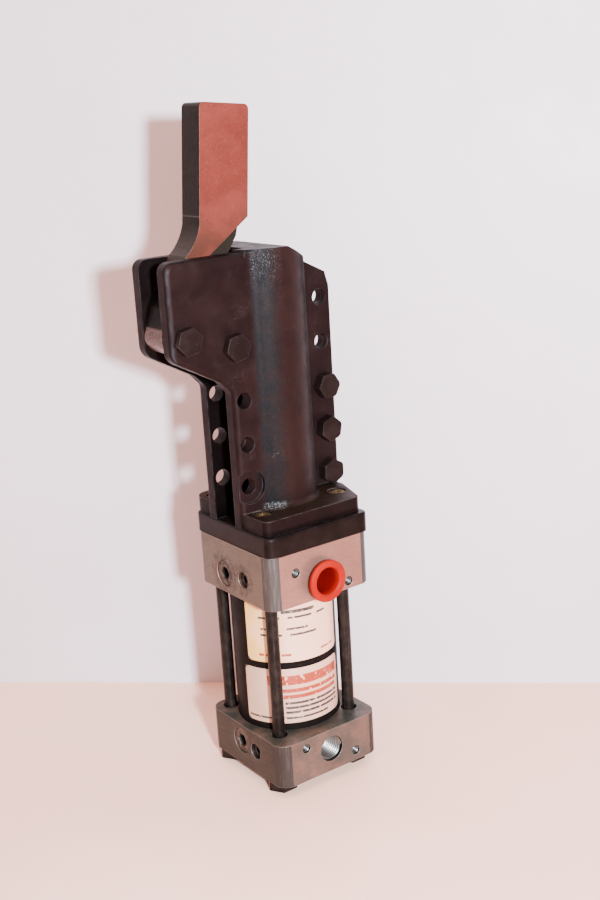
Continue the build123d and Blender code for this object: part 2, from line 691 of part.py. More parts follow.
def body_half(foot_depth, left_corner):
    """One half of the housing, modelled on the -Y side of the joint plane."""
    with BuildPart() as half:
        cheek()
        rim = half.faces().sort_by(Axis.Y)[0].edges()
        fillet(rim.filter_by_position(Axis.X, HEAD_LEFT - OVERCUT, CHEEK_RIGHT - OVERCUT)
               .filter_by_position(Axis.Z, PLATE_TOP + OVERCUT, HEAD_TOP + OVERCUT), CHEEK_EDGE)
        barrel()
        flange()
        foot(foot_depth, left_corner)
        upright_cove(-1, CHEEK_OUTER, CHEEK_COVE, HEAD_TOP)
        upright_cove(1, FLANGE_THICKNESS, FLANGE_COVE, BARREL_TOP)
        foot_cove()
        slope_cut()
        inner_space()
        cross_holes(FLANGE_HOLES, BOLT_HOLE)
        cross_holes(COLUMN_HOLES, COLUMN_HOLE_RADIUS)
        cross_holes(((PIVOT_X, PIVOT_Z), (STOP_X, STOP_Z)), PIN_HOLE)
        spot_face()
        bore(PLATE_TOP, FOOT_THICKNESS, FOOT_SCREW_RADIUS + SCREW_GAP, FOOT_SCREWS)
        bore(FOOT_TOP - FOOT_SCREW_HEAD - FOOT_SCREW_RECESS, FOOT_TOP, FOOT_SCREW_HEAD_RADIUS + SCREW_GAP,
             FOOT_SCREWS)
    return half.part


with BuildPart() as body_half_near:
    add(body_half(FOOT_FRONT, FOOT_CORNER))
save(body_half_near, "body_half_near")

with BuildPart() as body_half_far:
    add(mirror(body_half(FOOT_BACK, FOOT_CORNER_BACK), about=Plane.XZ, mode=Mode.PRIVATE))
save(body_half_far, "body_half_far")


# ---------------------------------------------------------------- bolts and nuts


def hex_bolts(places, turns, face_y, head, flats, radius, length):
    """Hex-head bolts along +Y whose heads stand on the plane y = -face_y."""
    with BuildSketch(Plane.XZ.offset(face_y)) as profile:
        for place, turn in zip(places, turns):
            with Locations(place):
                hexagon_across_flats(flats, turn)
    extrude(profile.sketch, amount=head)
    with BuildSketch(Plane.XZ.offset(face_y + head)) as profile:
        with Locations(*places):
            Circle(flats / 2 * HEX_FACE)
    extrude(profile.sketch, amount=-head - OVERCUT, mode=Mode.INTERSECT, taper=-HEX_CONE)
    with BuildSketch(Plane.XZ.offset(face_y)) as profile:
        with Locations(*places):
            Circle(radius)
    extrude(profile.sketch, amount=-length)


def hex_nuts(places, face_y, height, flats, radius):
    """Hex nuts standing on the plane y = face_y."""
    with BuildSketch(Plane.XZ.offset(-face_y)) as profile:
        with Locations(*places):
            hexagon_across_flats(flats, HEX_TURN)
            Circle(radius + PIN_GAP, mode=Mode.SUBTRACT)
    extrude(profile.sketch, amount=-height)


BOLT_PLACES = FLANGE_HOLES[:FLANGE_BOLT_COUNT]
BOLT_LENGTH = 2 * FLANGE_THICKNESS + NUT_HEIGHT + BOLT_END
PIVOT = ((PIVOT_X, PIVOT_Z),)
STOP = ((STOP_X, STOP_Z),)

with BuildPart() as flange_bolts:
    hex_bolts(BOLT_PLACES, BOLT_TURNS, FLANGE_THICKNESS, BOLT_HEAD_HEIGHT, NUT_SMALL_FLATS,
              BOLT_RADIUS, BOLT_LENGTH)
save(flange_bolts, "flange_bolts")

with BuildPart() as flange_nuts:
    hex_nuts(BOLT_PLACES, FLANGE_THICKNESS, NUT_HEIGHT, NUT_SMALL_FLATS, BOLT_RADIUS)
save(flange_nuts, "flange_nuts")

with BuildPart() as pivot_pin:
    hex_bolts(PIVOT, (HEX_TURN,), CHEEK_OUTER, PIN_HEAD_HEIGHT, PIN_FLATS, PIN_RADIUS, 2 * CHEEK_OUTER)
save(pivot_pin, "pivot_pin")

with BuildPart() as stop_bolt:
    hex_bolts(STOP, (HEX_TURN,), CHEEK_OUTER, PIN_HEAD_HEIGHT, PIN_FLATS, PIN_RADIUS, STOP_LENGTH)
save(stop_bolt, "stop_bolt")

with BuildPart() as stop_nut:
    hex_nuts(STOP, CHEEK_OUTER, PIN_NUT_HEIGHT, PIN_FLATS, PIN_RADIUS)
save(stop_nut, "stop_nut")

with BuildPart() as grease_fitting:
    with BuildSketch(Plane.XY.offset(PIVOT_Z)):
        with BuildLine():
            Polyline([(PIVOT_X + r, CHEEK_OUTER + y) for r, y in GREASE_PROFILE], close=True)
        make_face()
    revolve(axis=Axis((PIVOT_X, 0, PIVOT_Z), (0, 1, 0)))
save(grease_fitting, "grease_fitting")

SCREW_TOP = FOOT_TOP - FOOT_SCREW_RECESS

with BuildPart() as foot_screws:
    with BuildSketch(Plane.XY.offset(SCREW_TOP)):
        with Locations(*FOOT_SCREWS):
            Circle(FOOT_SCREW_HEAD_RADIUS)
    extrude(amount=-FOOT_SCREW_HEAD)
    with BuildSketch(Plane.XY.offset(SCREW_TOP - FOOT_SCREW_HEAD)):
        with Locations(*FOOT_SCREWS):
            Circle(FOOT_SCREW_RADIUS - PIN_GAP)
    extrude(amount=FOOT_SCREW_HEAD + FOOT_SCREW_RECESS + SCREW_END_GAP - FOOT_SCREW_LENGTH)
    with BuildSketch(Plane.XY.offset(SCREW_TOP)):
        with Locations(*FOOT_SCREWS):
            hexagon_across_flats(FOOT_SCREW_FLATS)
    extrude(amount=-FOOT_SCREW_SOCKET, mode=Mode.SUBTRACT)
save(foot_screws, "foot_screws")


# ---------------------------------------------------------------- arm


def on_blade(along, across):
    """A point on the leaning blade, from the shoulder at its left edge."""
    lean = math.radians(ARM_LEAN)
    x = ARM_SHOULDER[0] + along * math.sin(lean) + across * math.cos(lean)
    z = ARM_SHOULDER[1] + along * math.cos(lean) - across * math.sin(lean)
    return (x, z)


TIP_RIGHT = on_blade(ARM_LENGTH, ARM_WIDTH)
TIP_LEFT = on_blade(ARM_LENGTH, 0)

with BuildPart() as arm:
    with BuildSketch(Plane.XZ.offset(-ARM_THICKNESS / 2)) as arm_profile:
        with BuildLine():
            left = Line(TIP_LEFT, on_blade(0, 0))
            neck = ThreePointArc(left @ 1, NECK_ARC_MIDDLE, NECK_ARC_END)
            Polyline(neck @ 1, NECK_LOW, (PIVOT_X - HUB_RADIUS, PIVOT_Z),
                     (PIVOT_X + HUB_RADIUS, PIVOT_Z), (CRANK_PIN[0] + TONGUE_EYE, CRANK_PIN[1]),
                     *reversed(STEP_POINTS), BLADE_CHAMFER, on_blade(BLADE_HEEL, ARM_WIDTH),
                     TIP_RIGHT, TIP_LEFT)
        make_face()
        fillet(corner_at(arm_profile, *TIP_LEFT), TIP_ROUND)
        fillet(corner_at(arm_profile, *TIP_RIGHT), TIP_ROUND)
        with Locations((PIVOT_X, PIVOT_Z)):
            Circle(HUB_RADIUS)
        with Locations(CRANK_PIN):
            Circle(TONGUE_EYE)
    extrude(amount=ARM_THICKNESS)
    for side in (1, -1):
        with BuildSketch(Plane.XZ.offset(side * TONGUE_HALF)):
            with BuildLine():
                Polyline(*RELIEF_OUTLINE, close=True)
            make_face()
            with Locations(CRANK_PIN):
                Circle(TONGUE_EYE)
        extrude(amount=side * ARM_THICKNESS, mode=Mode.SUBTRACT)
    with BuildSketch(Plane.XZ.offset(-ARM_THICKNESS / 2)):
        with Locations((PIVOT_X, PIVOT_Z)):
            Circle(BUSH_RADIUS)
        with Locations(CRANK_PIN):
            Circle(LINK_PIN_RADIUS + PIN_GAP)
    extrude(amount=ARM_THICKNESS, mode=Mode.SUBTRACT)
save(arm, "arm")

with BuildPart() as arm_bush:
    with BuildSketch(Plane.XZ.offset(-ARM_THICKNESS / 2)):
        with Locations((PIVOT_X, PIVOT_Z)):
            Circle(BUSH_RADIUS - PIN_GAP)
            Circle(PIN_RADIUS + BUSH_CLEARANCE, mode=Mode.SUBTRACT)
    extrude(amount=ARM_THICKNESS)
save(arm_bush, "arm_bush")


# ---------------------------------------------------------------- links

LINK_X = (SLIDE_PIN_X - CRANK_PIN[0]) / LINK_LENGTH
LINK_Z = (SLIDE_PIN_Z - CRANK_PIN[1]) / LINK_LENGTH
LINK_KNEE = (CRANK_PIN[0] + LINK_KNEE_ALONG * LINK_X - LINK_KNEE_OFFSET * LINK_Z,
             CRANK_PIN[1] + LINK_KNEE_ALONG * LINK_Z + LINK_KNEE_OFFSET * LINK_X)
SLIDE_PIN = (SLIDE_PIN_X, SLIDE_PIN_Z)

with BuildPart() as toggle_links:
    for start in (LINK_INNER, -LINK_INNER - LINK_THICKNESS):
        with BuildSketch(Plane.XZ.offset(start)):
            with BuildLine() as spine:
                FilletPolyline(CRANK_PIN, LINK_KNEE, SLIDE_PIN, radius=LINK_KNEE_RADIUS)
            trace(line_width=2 * LINK_HALF_WIDTH)
            with Locations(CRANK_PIN, SLIDE_PIN):
                Circle(LINK_EYE)
            with Locations(CRANK_PIN, SLIDE_PIN):
                Circle(LINK_PIN_RADIUS + PIN_GAP, mode=Mode.SUBTRACT)
        extrude(amount=LINK_THICKNESS)
save(toggle_links, "toggle_links")


def cross_pin(place):
    """A plain pin along Y through both links."""
    with BuildSketch(Plane.XZ.offset(-LINK_PIN_HALF)) as profile:
        with Locations(place):
            Circle(LINK_PIN_RADIUS)
    extrude(profile.sketch, amount=2 * LINK_PIN_HALF)


with BuildPart() as link_pin_arm:
    cross_pin(CRANK_PIN)
save(link_pin_arm, "link_pin_arm")

with BuildPart() as link_pin_slide:
    cross_pin(SLIDE_PIN)
save(link_pin_slide, "link_pin_slide")


# ---------------------------------------------------------------- slide

with BuildPart() as slide:
    with BuildSketch(Plane.XY.offset(SLIDE_Z)):
        Circle(BARREL_BORE - SLIDE_CLEARANCE)
    extrude(amount=SLIDE_HEIGHT)
    with BuildSketch(Plane.XZ.offset(-TONGUE_HALF)):
        with Locations(SLIDE_PIN):
            Circle(TANG_EYE)
        with Locations((SLIDE_PIN_X, SLIDE_Z + OVERCUT)):
            Rectangle(2 * TANG_EYE, SLIDE_DROP - OVERCUT, align=(Align.CENTER, Align.MIN))
    extrude(amount=2 * TONGUE_HALF)
    with BuildSketch(Plane.XZ.offset(-TONGUE_HALF)):
        with Locations(SLIDE_PIN):
            Circle(TANG_WINDOW)
    extrude(amount=2 * TONGUE_HALF, mode=Mode.SUBTRACT)
    bore(SLIDE_Z, STUD_LENGTH + OVERCUT, ROD_STUD + PIN_GAP)
save(slide, "slide")
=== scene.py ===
import json
import math

import bpy
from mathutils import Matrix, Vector


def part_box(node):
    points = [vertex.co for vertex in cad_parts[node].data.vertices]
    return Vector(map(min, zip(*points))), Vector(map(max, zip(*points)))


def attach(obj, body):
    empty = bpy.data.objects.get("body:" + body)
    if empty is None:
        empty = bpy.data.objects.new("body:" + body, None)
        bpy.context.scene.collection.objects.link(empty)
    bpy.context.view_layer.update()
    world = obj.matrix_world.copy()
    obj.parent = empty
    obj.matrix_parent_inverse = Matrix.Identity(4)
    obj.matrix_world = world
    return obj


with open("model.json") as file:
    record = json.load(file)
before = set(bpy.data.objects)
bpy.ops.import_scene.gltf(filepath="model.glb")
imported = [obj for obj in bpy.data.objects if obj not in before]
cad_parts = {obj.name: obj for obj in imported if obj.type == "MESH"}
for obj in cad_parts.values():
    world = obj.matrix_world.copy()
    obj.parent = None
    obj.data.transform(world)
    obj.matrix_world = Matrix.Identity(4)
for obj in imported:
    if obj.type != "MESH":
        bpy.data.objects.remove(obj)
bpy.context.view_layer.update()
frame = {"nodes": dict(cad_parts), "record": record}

# Looks for the pneumatic toggle clamp. Metres, in the CAD's own frame: origin at the centre
# of the lower head's underside, +Z up the cylinder, the arm closes towards -X, and the ports
# face -Y. Colours are linear, as Blender takes them.

MM = 0.001

# ---- sizes of the clamp, as part.py has them ----
HEAD_CORNER = 8.0 * MM
FOOT_THICKNESS = 10.0 * MM
SHOULDER_DROP = 67.0 * MM
PORT_PLACE = (0.0, 15.3 * MM)
PORT_RADIUS = 8.6 * MM
TAP_RADIUS = 3.1 * MM
PLUG_PLACES = ((0.0, 17.0 * MM), (5.0 * MM, 131.2 * MM))
CUSHION_PLACES = ((-15.8 * MM, 15.6 * MM), (-15.8 * MM, 132.4 * MM))
CUSHION_RADIUS = 5.3 * MM
BARREL_X = -1.5 * MM
BARREL_RADIUS = 27.3 * MM
LABEL_RADIUS = 33.65 * MM
HUB_RADIUS = 9.6 * MM
SLOT_HALF = 10.7 * MM
SLOT_END_X = -18.0 * MM
TAP_PLACES = [(mount["pos_m"][0], mount["pos_m"][2]) for mount in frame["record"]["mounts"]
              if "_tap_" in mount["name"]]

# ---- places taken from the CAD ----
HEAD_LOW, HEAD_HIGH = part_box("lower_head")
PLATE_LOW, PLATE_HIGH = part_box("retainer_plate")
BODY_LOW, BODY_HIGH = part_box("body_half_near")
ARM_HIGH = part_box("arm")[1]
BUSH_LOW, BUSH_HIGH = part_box("arm_bush")
HEAD_FRONT = HEAD_LOW.y
HEAD_LEFT = HEAD_LOW.x
HEAD_TOP = HEAD_HIGH.z
HEAD_MIDDLE_Y = (HEAD_LOW.y + HEAD_HIGH.y) / 2
HEAD_HALF_DEPTH = (HEAD_HIGH.y - HEAD_LOW.y) / 2
FOOT_TOP = PLATE_HIGH.z + FOOT_THICKNESS
BODY_TOP = BODY_HIGH.z
PIVOT = (BUSH_LOW + BUSH_HIGH) / 2
ARM_FACE = ARM_HIGH.y
SHOULDER_Z = ARM_HIGH.z - SHOULDER_DROP


# ---------------------------------------------------------------- material kit

ROUNDING = 0.5 * MM
BEVEL_SAMPLES = 6
EDGE_TURN = (0.995, 0.90)
NOISE_ROUGHNESS = 0.6
MIX_FACTOR, MIX_UNDER, MIX_OVER, MIX_RESULT = 0, 6, 7, 2


class Graph:
    """One material's node tree, with a short method for each kind of node."""

    def __init__(self, name):
        self.material = bpy.data.materials.new(name)
        self.material.use_nodes = True
        self.tree = self.material.node_tree
        self.shader = self.tree.nodes["Principled BSDF"]
        coordinates = self.tree.nodes.new("ShaderNodeTexCoord")
        self.place = coordinates.outputs["Object"]
        self.x, self.y, self.z = self.axes(self.place)
        self.nx, self.ny, self.nz = self.axes(coordinates.outputs["Normal"])

    def node(self, kind, feeds, **settings):
        """A node with its settings made and its inputs linked or set."""
        made = self.tree.nodes.new(kind)
        for key, value in settings.items():
            setattr(made, key, value)
        for key, value in feeds.items():
            self.feed(made.inputs[key], value)
        return made

    def feed(self, socket, value):
        """Link another node's output to a socket, or set its constant."""
        if isinstance(value, bpy.types.NodeSocket):
            self.tree.links.new(value, socket)
        elif isinstance(value, tuple) and socket.type == "RGBA":
            socket.default_value = (*value, 1.0)
        else:
            socket.default_value = value

    def axes(self, vector):
        """The three parts of a vector."""
        return self.node("ShaderNodeSeparateXYZ", {"Vector": vector}).outputs

    def noise(self, scale, detail=4.0, stretch=None, distortion=0.0):
        """Fractal noise at a scale per metre, optionally stretched along an axis."""
        place = self.place
        if stretch:
            feeds = {"Vector": place, "Scale": stretch}
            place = self.node("ShaderNodeMapping", feeds).outputs[0]
        feeds = {"Vector": place, "Scale": scale, "Detail": detail,
                 "Roughness": NOISE_ROUGHNESS, "Distortion": distortion}
        return self.node("ShaderNodeTexNoise", feeds).outputs["Fac"]

    def cells(self, scale):
        """Distance to the nearest of a scatter of points."""
        feeds = {"Vector": self.place, "Scale": scale}
        return self.node("ShaderNodeTexVoronoi", feeds).outputs["Distance"]

    def fade(self, value, start, end, low=0.0, high=1.0):
        """Smooth step of a value from low to high between start and end."""
        feeds = {"Value": value, "From Min": start, "From Max": end, "To Min": low, "To Max": high}
        made = self.node("ShaderNodeMapRange", feeds, interpolation_type="SMOOTHSTEP")
        return made.outputs[0]

    def math(self, operation, first, second=0.0, third=0.0):
        """One arithmetic step on values."""
        feeds = {0: first, 1: second, 2: third}
        return self.node("ShaderNodeMath", feeds, operation=operation).outputs[0]

    def both(self, first, second):
        """Product of two masks."""
        return self.math("MULTIPLY", first, second)

    def either(self, first, second):
        """Larger of two masks, where the first may still be none."""
        return self.math("MAXIMUM", first, second) if first else second

    def off(self, value, middle):
        """How far a value is from a middle value."""
        return self.math("ABSOLUTE", self.math("SUBTRACT", value, middle))

    def near(self, value, middle, reach, soft):
        """Mask that is 1 within reach of a middle value and fades over a soft width."""
        return self.fade(self.off(value, middle), reach + soft, reach)

    def around(self, first, second, centre):
        """Distance in a plane from a centre, given two coordinates."""
        across = self.math("SUBTRACT", first, centre[0])
        along = self.math("SUBTRACT", second, centre[1])
        return self.length(across, along)

    def length(self, across, along):
        """Length of a two-part vector."""
        squares = self.math("ADD", self.both(across, across), self.both(along, along))
        return self.math("SQRT", squares)

    def blend(self, factor, under, over, how="MIX"):
        """Colour over laid on, or multiplied into, colour under by a mask."""
        feeds = {MIX_FACTOR: factor, MIX_UNDER: under, MIX_OVER: over}
        made = self.node("ShaderNodeMix", feeds, data_type="RGBA", blend_type=how)
        return made.outputs[MIX_RESULT]

    def shade(self, factor, color, tint):
        """Colour multiplied by a tint where the mask is 1."""
        return self.blend(factor, color, tint, "MULTIPLY")

    def flat(self):
        """The mesh's own normal."""
        return self.node("ShaderNodeNewGeometry", {}).outputs["Normal"]

    def rounded(self, radius=ROUNDING):
        """Normal with edges rounded, for shading."""
        made = self.node("ShaderNodeBevel", {"Radius": radius}, samples=BEVEL_SAMPLES)
        return made.outputs[0]

    def edges(self, radius):
        """Mask of the strip beside sharp edges."""
        turn = self.node("ShaderNodeVectorMath", {0: self.rounded(radius), 1: self.flat()},
                         operation="DOT_PRODUCT")
        return self.fade(turn.outputs["Value"], *EDGE_TURN)

    def bump(self, height, distance, strength=1.0, under=None):
        """Normal with a height texture on it, over the rounded edges or another normal."""
        feeds = {"Height": height, "Distance": distance, "Strength": strength,
                 "Normal": under or self.rounded()}
        return self.node("ShaderNodeBump", feeds).outputs[0]

    def finish(self, color, roughness, metallic, normal, **more):
        """Wire the shader's main inputs and give back the material."""
        feeds = {"Base Color": color, "Roughness": roughness, "Metallic": metallic,
                 "Normal": normal}
        feeds.update({key.replace("_", " "): value for key, value in more.items()})
        for key, value in feeds.items():
            self.feed(self.shader.inputs[key], value)
        return self.material


# ---------------------------------------------------------------- cylinder heads

MILLED = ((0.275, 0.132, 0.103), (0.215, 0.103, 0.080))
TOOL_LINE = (0.105, 0.062, 0.050)
SMUDGE = (0.15, 0.10, 0.08)
SPECK = (0.07, 0.055, 0.048)
BARE_EDGE = (0.50, 0.42, 0.38)
CORNER_GREY = (0.050, 0.041, 0.039)
CORNER_STREAK = (0.095, 0.080, 0.075)
LOW_CORNER_TINT = (0.62, 0.58, 0.56)
LEFT_FACE_SHADE = (0.42, 0.67, 0.65)
LOW_HEAD_TINT = (0.33, 0.56, 0.61)
LOW_LEFT_FACE_SHADE = (0.31, 0.28, 0.27)
LOW_TOP_TINT = (0.50, 0.62, 0.60)
RING_DIRT = (0.030, 0.024, 0.021)
RIM_DIRT = (0.018, 0.014, 0.012)
BORE_SHADE = (0.22, 0.24, 0.25)
PORT_REACH = 25.0 * MM
CUSHION_REACH = 14.0 * MM


def head_metal():
    """Milled aluminium with grey bar corners, tool marks, stains and rings round the plugs, with
    painted shade on the left faces and inside the bores.
    """
    g = Graph("head_metal")
    lines = g.noise(420.0, 3.0, stretch=(0.4, 0.4, 6.0))
    cloud = g.noise(38.0, 5.0)
    smudge = g.noise(85.0, 6.0, distortion=0.6)
    color = g.blend(g.fade(cloud, 0.35, 0.75), *MILLED)
    color = g.blend(g.fade(lines, 0.45, 0.75, 0.0, 0.35), color, TOOL_LINE)
    color = g.blend(g.fade(smudge, 0.58, 0.70, 0.0, 0.45), color, SMUDGE)
    color = head_stains_and_shade(g, color)
    corner = head_corners(g)
    streaks = g.noise(300.0, 4.0, stretch=(3.0, 3.0, 0.25))
    color = g.blend(corner, color, CORNER_GREY)
    streaked = g.both(corner, g.fade(streaks, 0.48, 0.70, 0.0, 0.7))
    color = g.blend(streaked, color, CORNER_STREAK)
    color = g.shade(g.both(corner, low_part(g)), color, LOW_CORNER_TINT)
    color = plug_rings(g, color)
    specks = g.fade(g.noise(900.0, 2.0), 0.66, 0.72, 0.0, 0.5)
    color = g.blend(specks, color, SPECK)
    color = g.blend(g.both(g.edges(0.35 * MM), 0.45), color, BARE_EDGE)
    # Painted shade on the walls inside the ports, tapped holes and cushion screw recesses.
    color = g.shade(inside_bores(g), color, BORE_SHADE)
    rough = g.math("ADD", g.fade(lines, 0.3, 0.8, 0.34, 0.52), g.both(corner, 0.14))
    height = g.math("ADD", g.both(lines, 0.6), g.both(g.noise(1500.0, 2.0), 0.4))
    return g.finish(color, rough, 0.6, g.bump(height, 0.05 * MM, 0.7), Specular_IOR_Level=0.25)


def head_corners(g):
    """Mask of the rough vertical strips at the heads' four corners."""
    soft = 0.3 * MM
    start = -HEAD_LEFT - HEAD_CORNER
    across = g.fade(g.math("ABSOLUTE", g.x), start, start + soft)
    start = HEAD_HALF_DEPTH - HEAD_CORNER
    along = g.fade(g.off(g.y, HEAD_MIDDLE_Y), start, start + soft)
    upright = g.fade(g.math("ABSOLUTE", g.nz), 0.7, 0.4)
    return g.both(upright, g.both(across, along))


def head_stains_and_shade(g, color):
    """Painted shade on the left-facing faces, and a duller, oil-stained lower head with greyer
    tops.
    """
    left = g.fade(g.nx, -0.3, -0.8)
    stain = g.fade(g.noise(60.0, 5.0), 0.30, 0.62, 0.55, 1.0)
    low_head = g.both(low_part(g), stain)
    # Painted shade on the left-facing faces.
    color = g.shade(left, color, LEFT_FACE_SHADE)
    color = g.shade(low_head, color, LOW_HEAD_TINT)
    # Painted shade: the lower head's left faces darkened further.
    color = g.shade(g.both(low_part(g), left), color, LOW_LEFT_FACE_SHADE)
    return g.shade(g.both(low_head, g.fade(g.nz, 0.6, 0.9)), color, LOW_TOP_TINT)


def low_part(g):
    """Mask of the lower head."""
    return g.fade(g.z, HEAD_TOP + 6.0 * MM, HEAD_TOP + 1.0 * MM)


def plug_rings(g, color):
    """Dirty rings and dark rims round the plugs and cushion screws on the heads' left faces."""
    on_left = g.fade(g.nx, -0.8, -0.95)
    patchy = g.fade(g.noise(260.0, 4.0), 0.36, 0.66, 0.0, 0.85)
    for places, radius in ((PLUG_PLACES, PORT_RADIUS), (CUSHION_PLACES, CUSHION_RADIUS)):
        for place in places:
            away = g.around(g.y, g.z, place)
            ring = g.near(away, radius + 2.0 * MM, 1.6 * MM, 3.4 * MM)
            color = g.blend(g.both(on_left, g.both(ring, patchy)), color, RING_DIRT)
            rim = g.near(away, radius + 0.2 * MM, 0.3 * MM, 0.3 * MM)
            color = g.blend(g.both(on_left, g.both(rim, 0.85)), color, RIM_DIRT)
    return color


def inside_bores(g):
    """Mask of the walls inside the ports, tapped holes and screw recesses, where shade is painted.
    """
    front = g.both(g.fade(g.y, HEAD_FRONT + 0.3 * MM, HEAD_FRONT + 0.8 * MM),
                   g.fade(g.y, HEAD_FRONT + PORT_REACH + 1.0 * MM, HEAD_FRONT + PORT_REACH))
    holes = None
    for place, radius in ((PORT_PLACE, PORT_RADIUS), *((tap, TAP_RADIUS) for tap in TAP_PLACES)):
        holes = g.either(holes, hole_mask(g, g.x, place, radius))
    total = g.both(holes, front)
    left = g.both(g.fade(g.x, HEAD_LEFT + 0.2 * MM, HEAD_LEFT + 0.6 * MM),
                  g.fade(g.x, HEAD_LEFT + CUSHION_REACH + 1.0 * MM, HEAD_LEFT + CUSHION_REACH))
    for place in CUSHION_PLACES:
        total = g.either(total, g.both(hole_mask(g, g.y, place, CUSHION_RADIUS), left))
    return total


def hole_mask(g, across, place, radius):
    """Mask of the round column that a hole and its wall fill."""
    return g.fade(g.around(across, g.z, place), radius + 0.3 * MM, radius + 0.1 * MM)


# ---------------------------------------------------------------- fasteners and plain metals

FASTENER = ((0.0070, 0.0038, 0.0036), (0.0125, 0.0070, 0.0064))
FASTENER_WORN = (0.050, 0.038, 0.034)
ROD = ((0.0050, 0.0034, 0.0030), (0.0150, 0.0105, 0.0092))
ROD_DRAWN = (0.060, 0.048, 0.042)
PLUG = ((0.080, 0.062, 0.050), (0.036, 0.027, 0.022))
PLUG_RIM = (0.016, 0.013, 0.011)
PLUG_SOCKET_SHADE = (0.0045, 0.0040, 0.0037)
PLUG_EDGE = (0.15, 0.13, 0.115)
TURNED_LINES = (0.3, 0.3, 5.0)


def fastener_steel():
    """Blackened steel: two close tones, fine grain, and bare metal along its edges."""
    g = Graph("fastener_black")
    cloud = g.noise(55.0, 5.0, distortion=0.4)
    grain = g.noise(1100.0, 3.0)
    color = g.blend(g.fade(cloud, 0.35, 0.68), *FASTENER)
    color = g.blend(g.fade(grain, 0.60, 0.74, 0.0, 0.5), color, FASTENER_WORN)
    patchy = g.fade(g.noise(240.0, 4.0), 0.35, 0.62, 0.15, 0.8)
    color = g.blend(g.both(g.edges(0.45 * MM), patchy), color, FASTENER_WORN)
    rough = g.fade(cloud, 0.3, 0.7, 0.37, 0.52)
    return g.finish(color, rough, 0.4, g.bump(grain, 0.04 * MM, 0.6), Specular_IOR_Level=0.12)


def rod_steel():
    """Black tie rods with a long drawn grain and mottled oxide."""
    g = Graph("rod_black")
    drawn = g.noise(500.0, 4.0, stretch=(2.0, 2.0, 0.08))
    mottle = g.noise(170.0, 6.0, distortion=0.8)
    color = g.blend(g.fade(mottle, 0.38, 0.66), *ROD)
    color = g.blend(g.fade(drawn, 0.55, 0.75, 0.0, 0.4), color, ROD_DRAWN)
    rough = g.fade(mottle, 0.3, 0.7, 0.30, 0.48)
    return g.finish(color, rough, 0.4, g.bump(drawn, 0.03 * MM, 0.6), Specular_IOR_Level=0.15)


def turned_steel(name, base, dark, roughness):
    """Bare machined metal with fine tool lines."""
    g = Graph(name)
    lines = g.noise(650.0, 3.0, stretch=TURNED_LINES)
    cloud = g.noise(70.0, 5.0)
    color = g.blend(g.fade(lines, 0.35, 0.7), base, dark)
    color = g.blend(g.fade(cloud, 0.55, 0.75, 0.0, 0.5), color, dark)
    rough = g.fade(cloud, 0.3, 0.7, roughness - 0.06, roughness + 0.08)
    return g.finish(color, rough, 1.0, g.bump(lines, 0.02 * MM, 0.6))


def plug_steel():
    """Greyed steel plugs and cushion screws, mottled with oily dirt, with painted shade deep in
    their sockets.
    """
    g = Graph("plug_steel")
    dirt = g.noise(330.0, 5.0, distortion=0.5)
    deep = g.fade(g.x, HEAD_LEFT + 0.9 * MM, HEAD_LEFT + 2.6 * MM)
    color = g.blend(g.fade(dirt, 0.38, 0.66), *PLUG)
    for place in PLUG_PLACES:
        away = g.around(g.y, g.z, place)
        rim = g.fade(away, PORT_RADIUS - 1.1 * MM, PORT_RADIUS - 0.6 * MM)
        near_plug = g.fade(away, PORT_RADIUS + 1.0 * MM, PORT_RADIUS + 0.5 * MM)
        color = g.blend(g.both(rim, near_plug), color, PLUG_RIM)
    # Painted shade: faces more than a couple of millimetres in from the head's left face go near
    # black.
    color = g.blend(deep, color, PLUG_SOCKET_SHADE)
    color = g.blend(g.both(g.edges(0.3 * MM), 0.4), color, PLUG_EDGE)
    rough = g.fade(dirt, 0.3, 0.7, 0.36, 0.58)
    return g.finish(color, rough, 0.7, g.bump(dirt, 0.08 * MM, 0.6), Specular_IOR_Level=0.2)


# ---------------------------------------------------------------- clamp body

OXIDE = ((0.0072, 0.0031, 0.0033), (0.0125, 0.0058, 0.0057))
OXIDE_SOFT = (0.0165, 0.0090, 0.0090)
REFLECTION_GREY = (0.0040, 0.0038, 0.0044)
RUST_BROWN = (0.0150, 0.0064, 0.0056)
SPECKLE = (0.060, 0.062, 0.066)
SLOT_SHADE = (0.30, 0.30, 0.32)
ROOF_SHADE = (0.35, 0.33, 0.33)
LIMB_SHADE = (0.42, 0.46, 0.46)
BODY_SCRATCH = (0.055, 0.043, 0.038)
BODY_EDGE = (0.045, 0.041, 0.042)
NOSE_HIGHLIGHT_BLUE = (0.024, 0.028, 0.034)
# Bands up the barrel, in degrees round its axis: middle, half width and soft width.
REFLECTION_BAND = (125.0, 17.0, 12.0)
RUSTY_BAND = (74.0, 22.0, 24.0)
SPECKLE_BAND = (119.0, 16.0, 14.0)
DULL_SHADED_BAND = (22.0, 26.0, 20.0)
PATCH_BAND = (122.0, 9.0, 8.0)
FOOT_OIL = (0.0120, 0.0072, 0.0040)
FOOT_PATCH = (0.075, 0.075, 0.075)
FOOT_WORN = (0.080, 0.066, 0.052)
FOOT_SIDE_TINT = (0.62, 0.62, 0.62)
FOOT_UNDER_SHADE = (0.45, 0.42, 0.42)
PLATE = ((0.0042, 0.0024, 0.0023), (0.0085, 0.0048, 0.0044))
PLATE_EDGE = (0.026, 0.019, 0.018)
PLATE_RUBBED = (0.12, 0.11, 0.11)


def barrel_angle(g):
    """Angle round the barrel's axis, in degrees from the +X side, positive to the front."""
    across = g.math("SUBTRACT", g.x, BARREL_X)
    turn = g.math("ARCTAN2", g.math("MULTIPLY", g.y, -1.0), across)
    return g.math("MULTIPLY", turn, 180.0 / math.pi)


def barrel_mask(g):
    """Mask of the barrel's own round surface."""
    away = g.around(g.x, g.y, (BARREL_X, 0.0))
    above_foot = g.fade(g.z, FOOT_TOP, FOOT_TOP + 2.0 * MM)
    return g.both(g.near(away, BARREL_RADIUS, 0.6 * MM, 0.8 * MM), above_foot)


